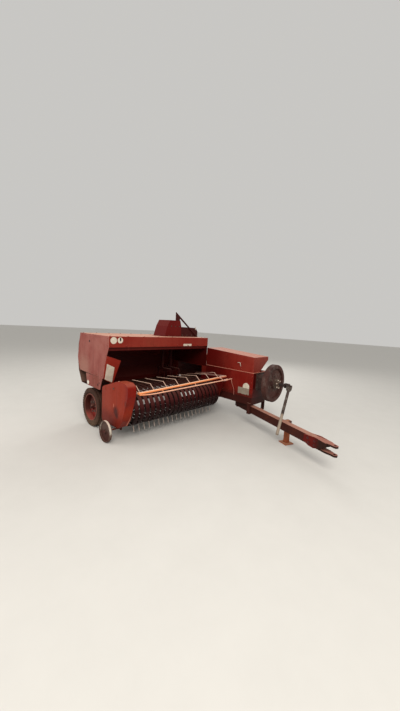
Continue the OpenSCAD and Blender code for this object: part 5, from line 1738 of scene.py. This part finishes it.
@dataclass
class Studio:
    """The floor, the lights and the camera of the photograph."""

    eye: Point = (-3.082, -3.574, 1.653)
    yaw: float = 46.129
    pitch: float = 6.091
    roll: float = 3.253
    lens: float = 13.283
    sensor: float = 36.0
    sight: float = 300.0
    aim: Point = (0.0, 0.0, 0.6)
    lamps: tuple[Lamp, ...] = (Lamp("key", (-4.5, -6.0, 6.5), 560.0, (1.0, 0.96, 0.9)),
                               Lamp("fill", (-7.0, 3.0, 4.0), 140.0, (1.0, 0.97, 0.93)),
                               Lamp("back", (6.0, 4.0, 6.0), 260.0, (1.0, 0.98, 0.95)))
    sky: Color = (1.0, 0.985, 0.95)
    sky_strength: float = 0.58
    floor_r: float = 60.0

    def place(self, name: str, data: bpy.types.ID) -> bpy.types.Object:
        """Adds an object to the scene."""
        obj = bpy.data.objects.new(name, data)
        bpy.context.scene.collection.objects.link(obj)
        return obj

    def camera(self) -> None:
        """Sets the camera where the photograph was taken from."""
        data = bpy.data.cameras.new("camera")
        data.lens = self.lens
        data.sensor_width = self.sensor
        data.clip_end = self.sight
        cam = self.place("camera", data)
        yaw, pitch, roll = (math.radians(a) for a in (self.yaw, self.pitch, self.roll))
        ahead = Vector((math.sin(yaw) * math.cos(pitch), math.cos(yaw) * math.cos(pitch),
                        -math.sin(pitch)))
        level = Vector((math.cos(yaw), -math.sin(yaw), 0.0))
        rise = level.cross(ahead)
        right = level * math.cos(roll) + rise * math.sin(roll)
        up = rise * math.cos(roll) - level * math.sin(roll)
        turn = Matrix((right, up, -ahead)).transposed()
        cam.matrix_world = Matrix.Translation(self.eye) @ turn.to_4x4()
        bpy.context.scene.camera = cam

    def light(self, lamp: Lamp) -> None:
        """Adds a lamp aimed at the machine."""
        data = bpy.data.lights.new(lamp.name, "AREA")
        data.size = lamp.size
        data.energy = lamp.power
        data.color = lamp.color
        obj = self.place(lamp.name, data)
        obj.location = lamp.place
        aim = Vector(self.aim) - Vector(lamp.place)
        obj.rotation_euler = aim.to_track_quat("-Z", "Y").to_euler()

    def floor(self) -> None:
        """Lays the pale floor."""
        mesh = bpy.data.meshes.new("floor")
        r = self.floor_r
        mesh.from_pydata([(-r, -r, 0), (r, -r, 0), (r, r, 0), (-r, r, 0)], [], [(0, 1, 2, 3)])
        obj = self.place("floor", mesh)
        s = Shader("pale_floor")
        color = s.mix(s.noise(3.0, 4.0, 0.6), lin((0.80, 0.79, 0.77)), lin((0.83, 0.82, 0.80)))
        mesh.materials.append(s.finish({"Roughness": 0.9}, Base_Color=color))

    def world(self) -> None:
        """Sets an even pale sky."""
        world = bpy.data.worlds.new("sky")
        world.use_nodes = True
        bpy.context.scene.world = world
        back = world.node_tree.nodes["Background"]
        back.inputs["Color"].default_value = (*self.sky, 1.0)
        back.inputs["Strength"].default_value = self.sky_strength

    def build(self) -> None:
        """Makes the whole studio."""
        bpy.context.scene.view_settings.view_transform = "Standard"
        self.camera()
        self.world()
        for lamp in self.lamps:
            self.light(lamp)
        self.floor()


def main() -> None:
    """Builds the sub-assemblies in order and reports each piece."""
    logging.basicConfig(level=logging.INFO, format="%(name)s: %(message)s")
    studio = Studio()
    studio.build()
    shop = Workshop()
    shop.dress_nodes()
    for assembly in (Wheels, Feeder, Housing, Pickup, Drive, Hitch, Chamber):
        assembly(shop).build()
        LOG.info("%s done", assembly.__name__)


if __name__ == "__main__":
    main()
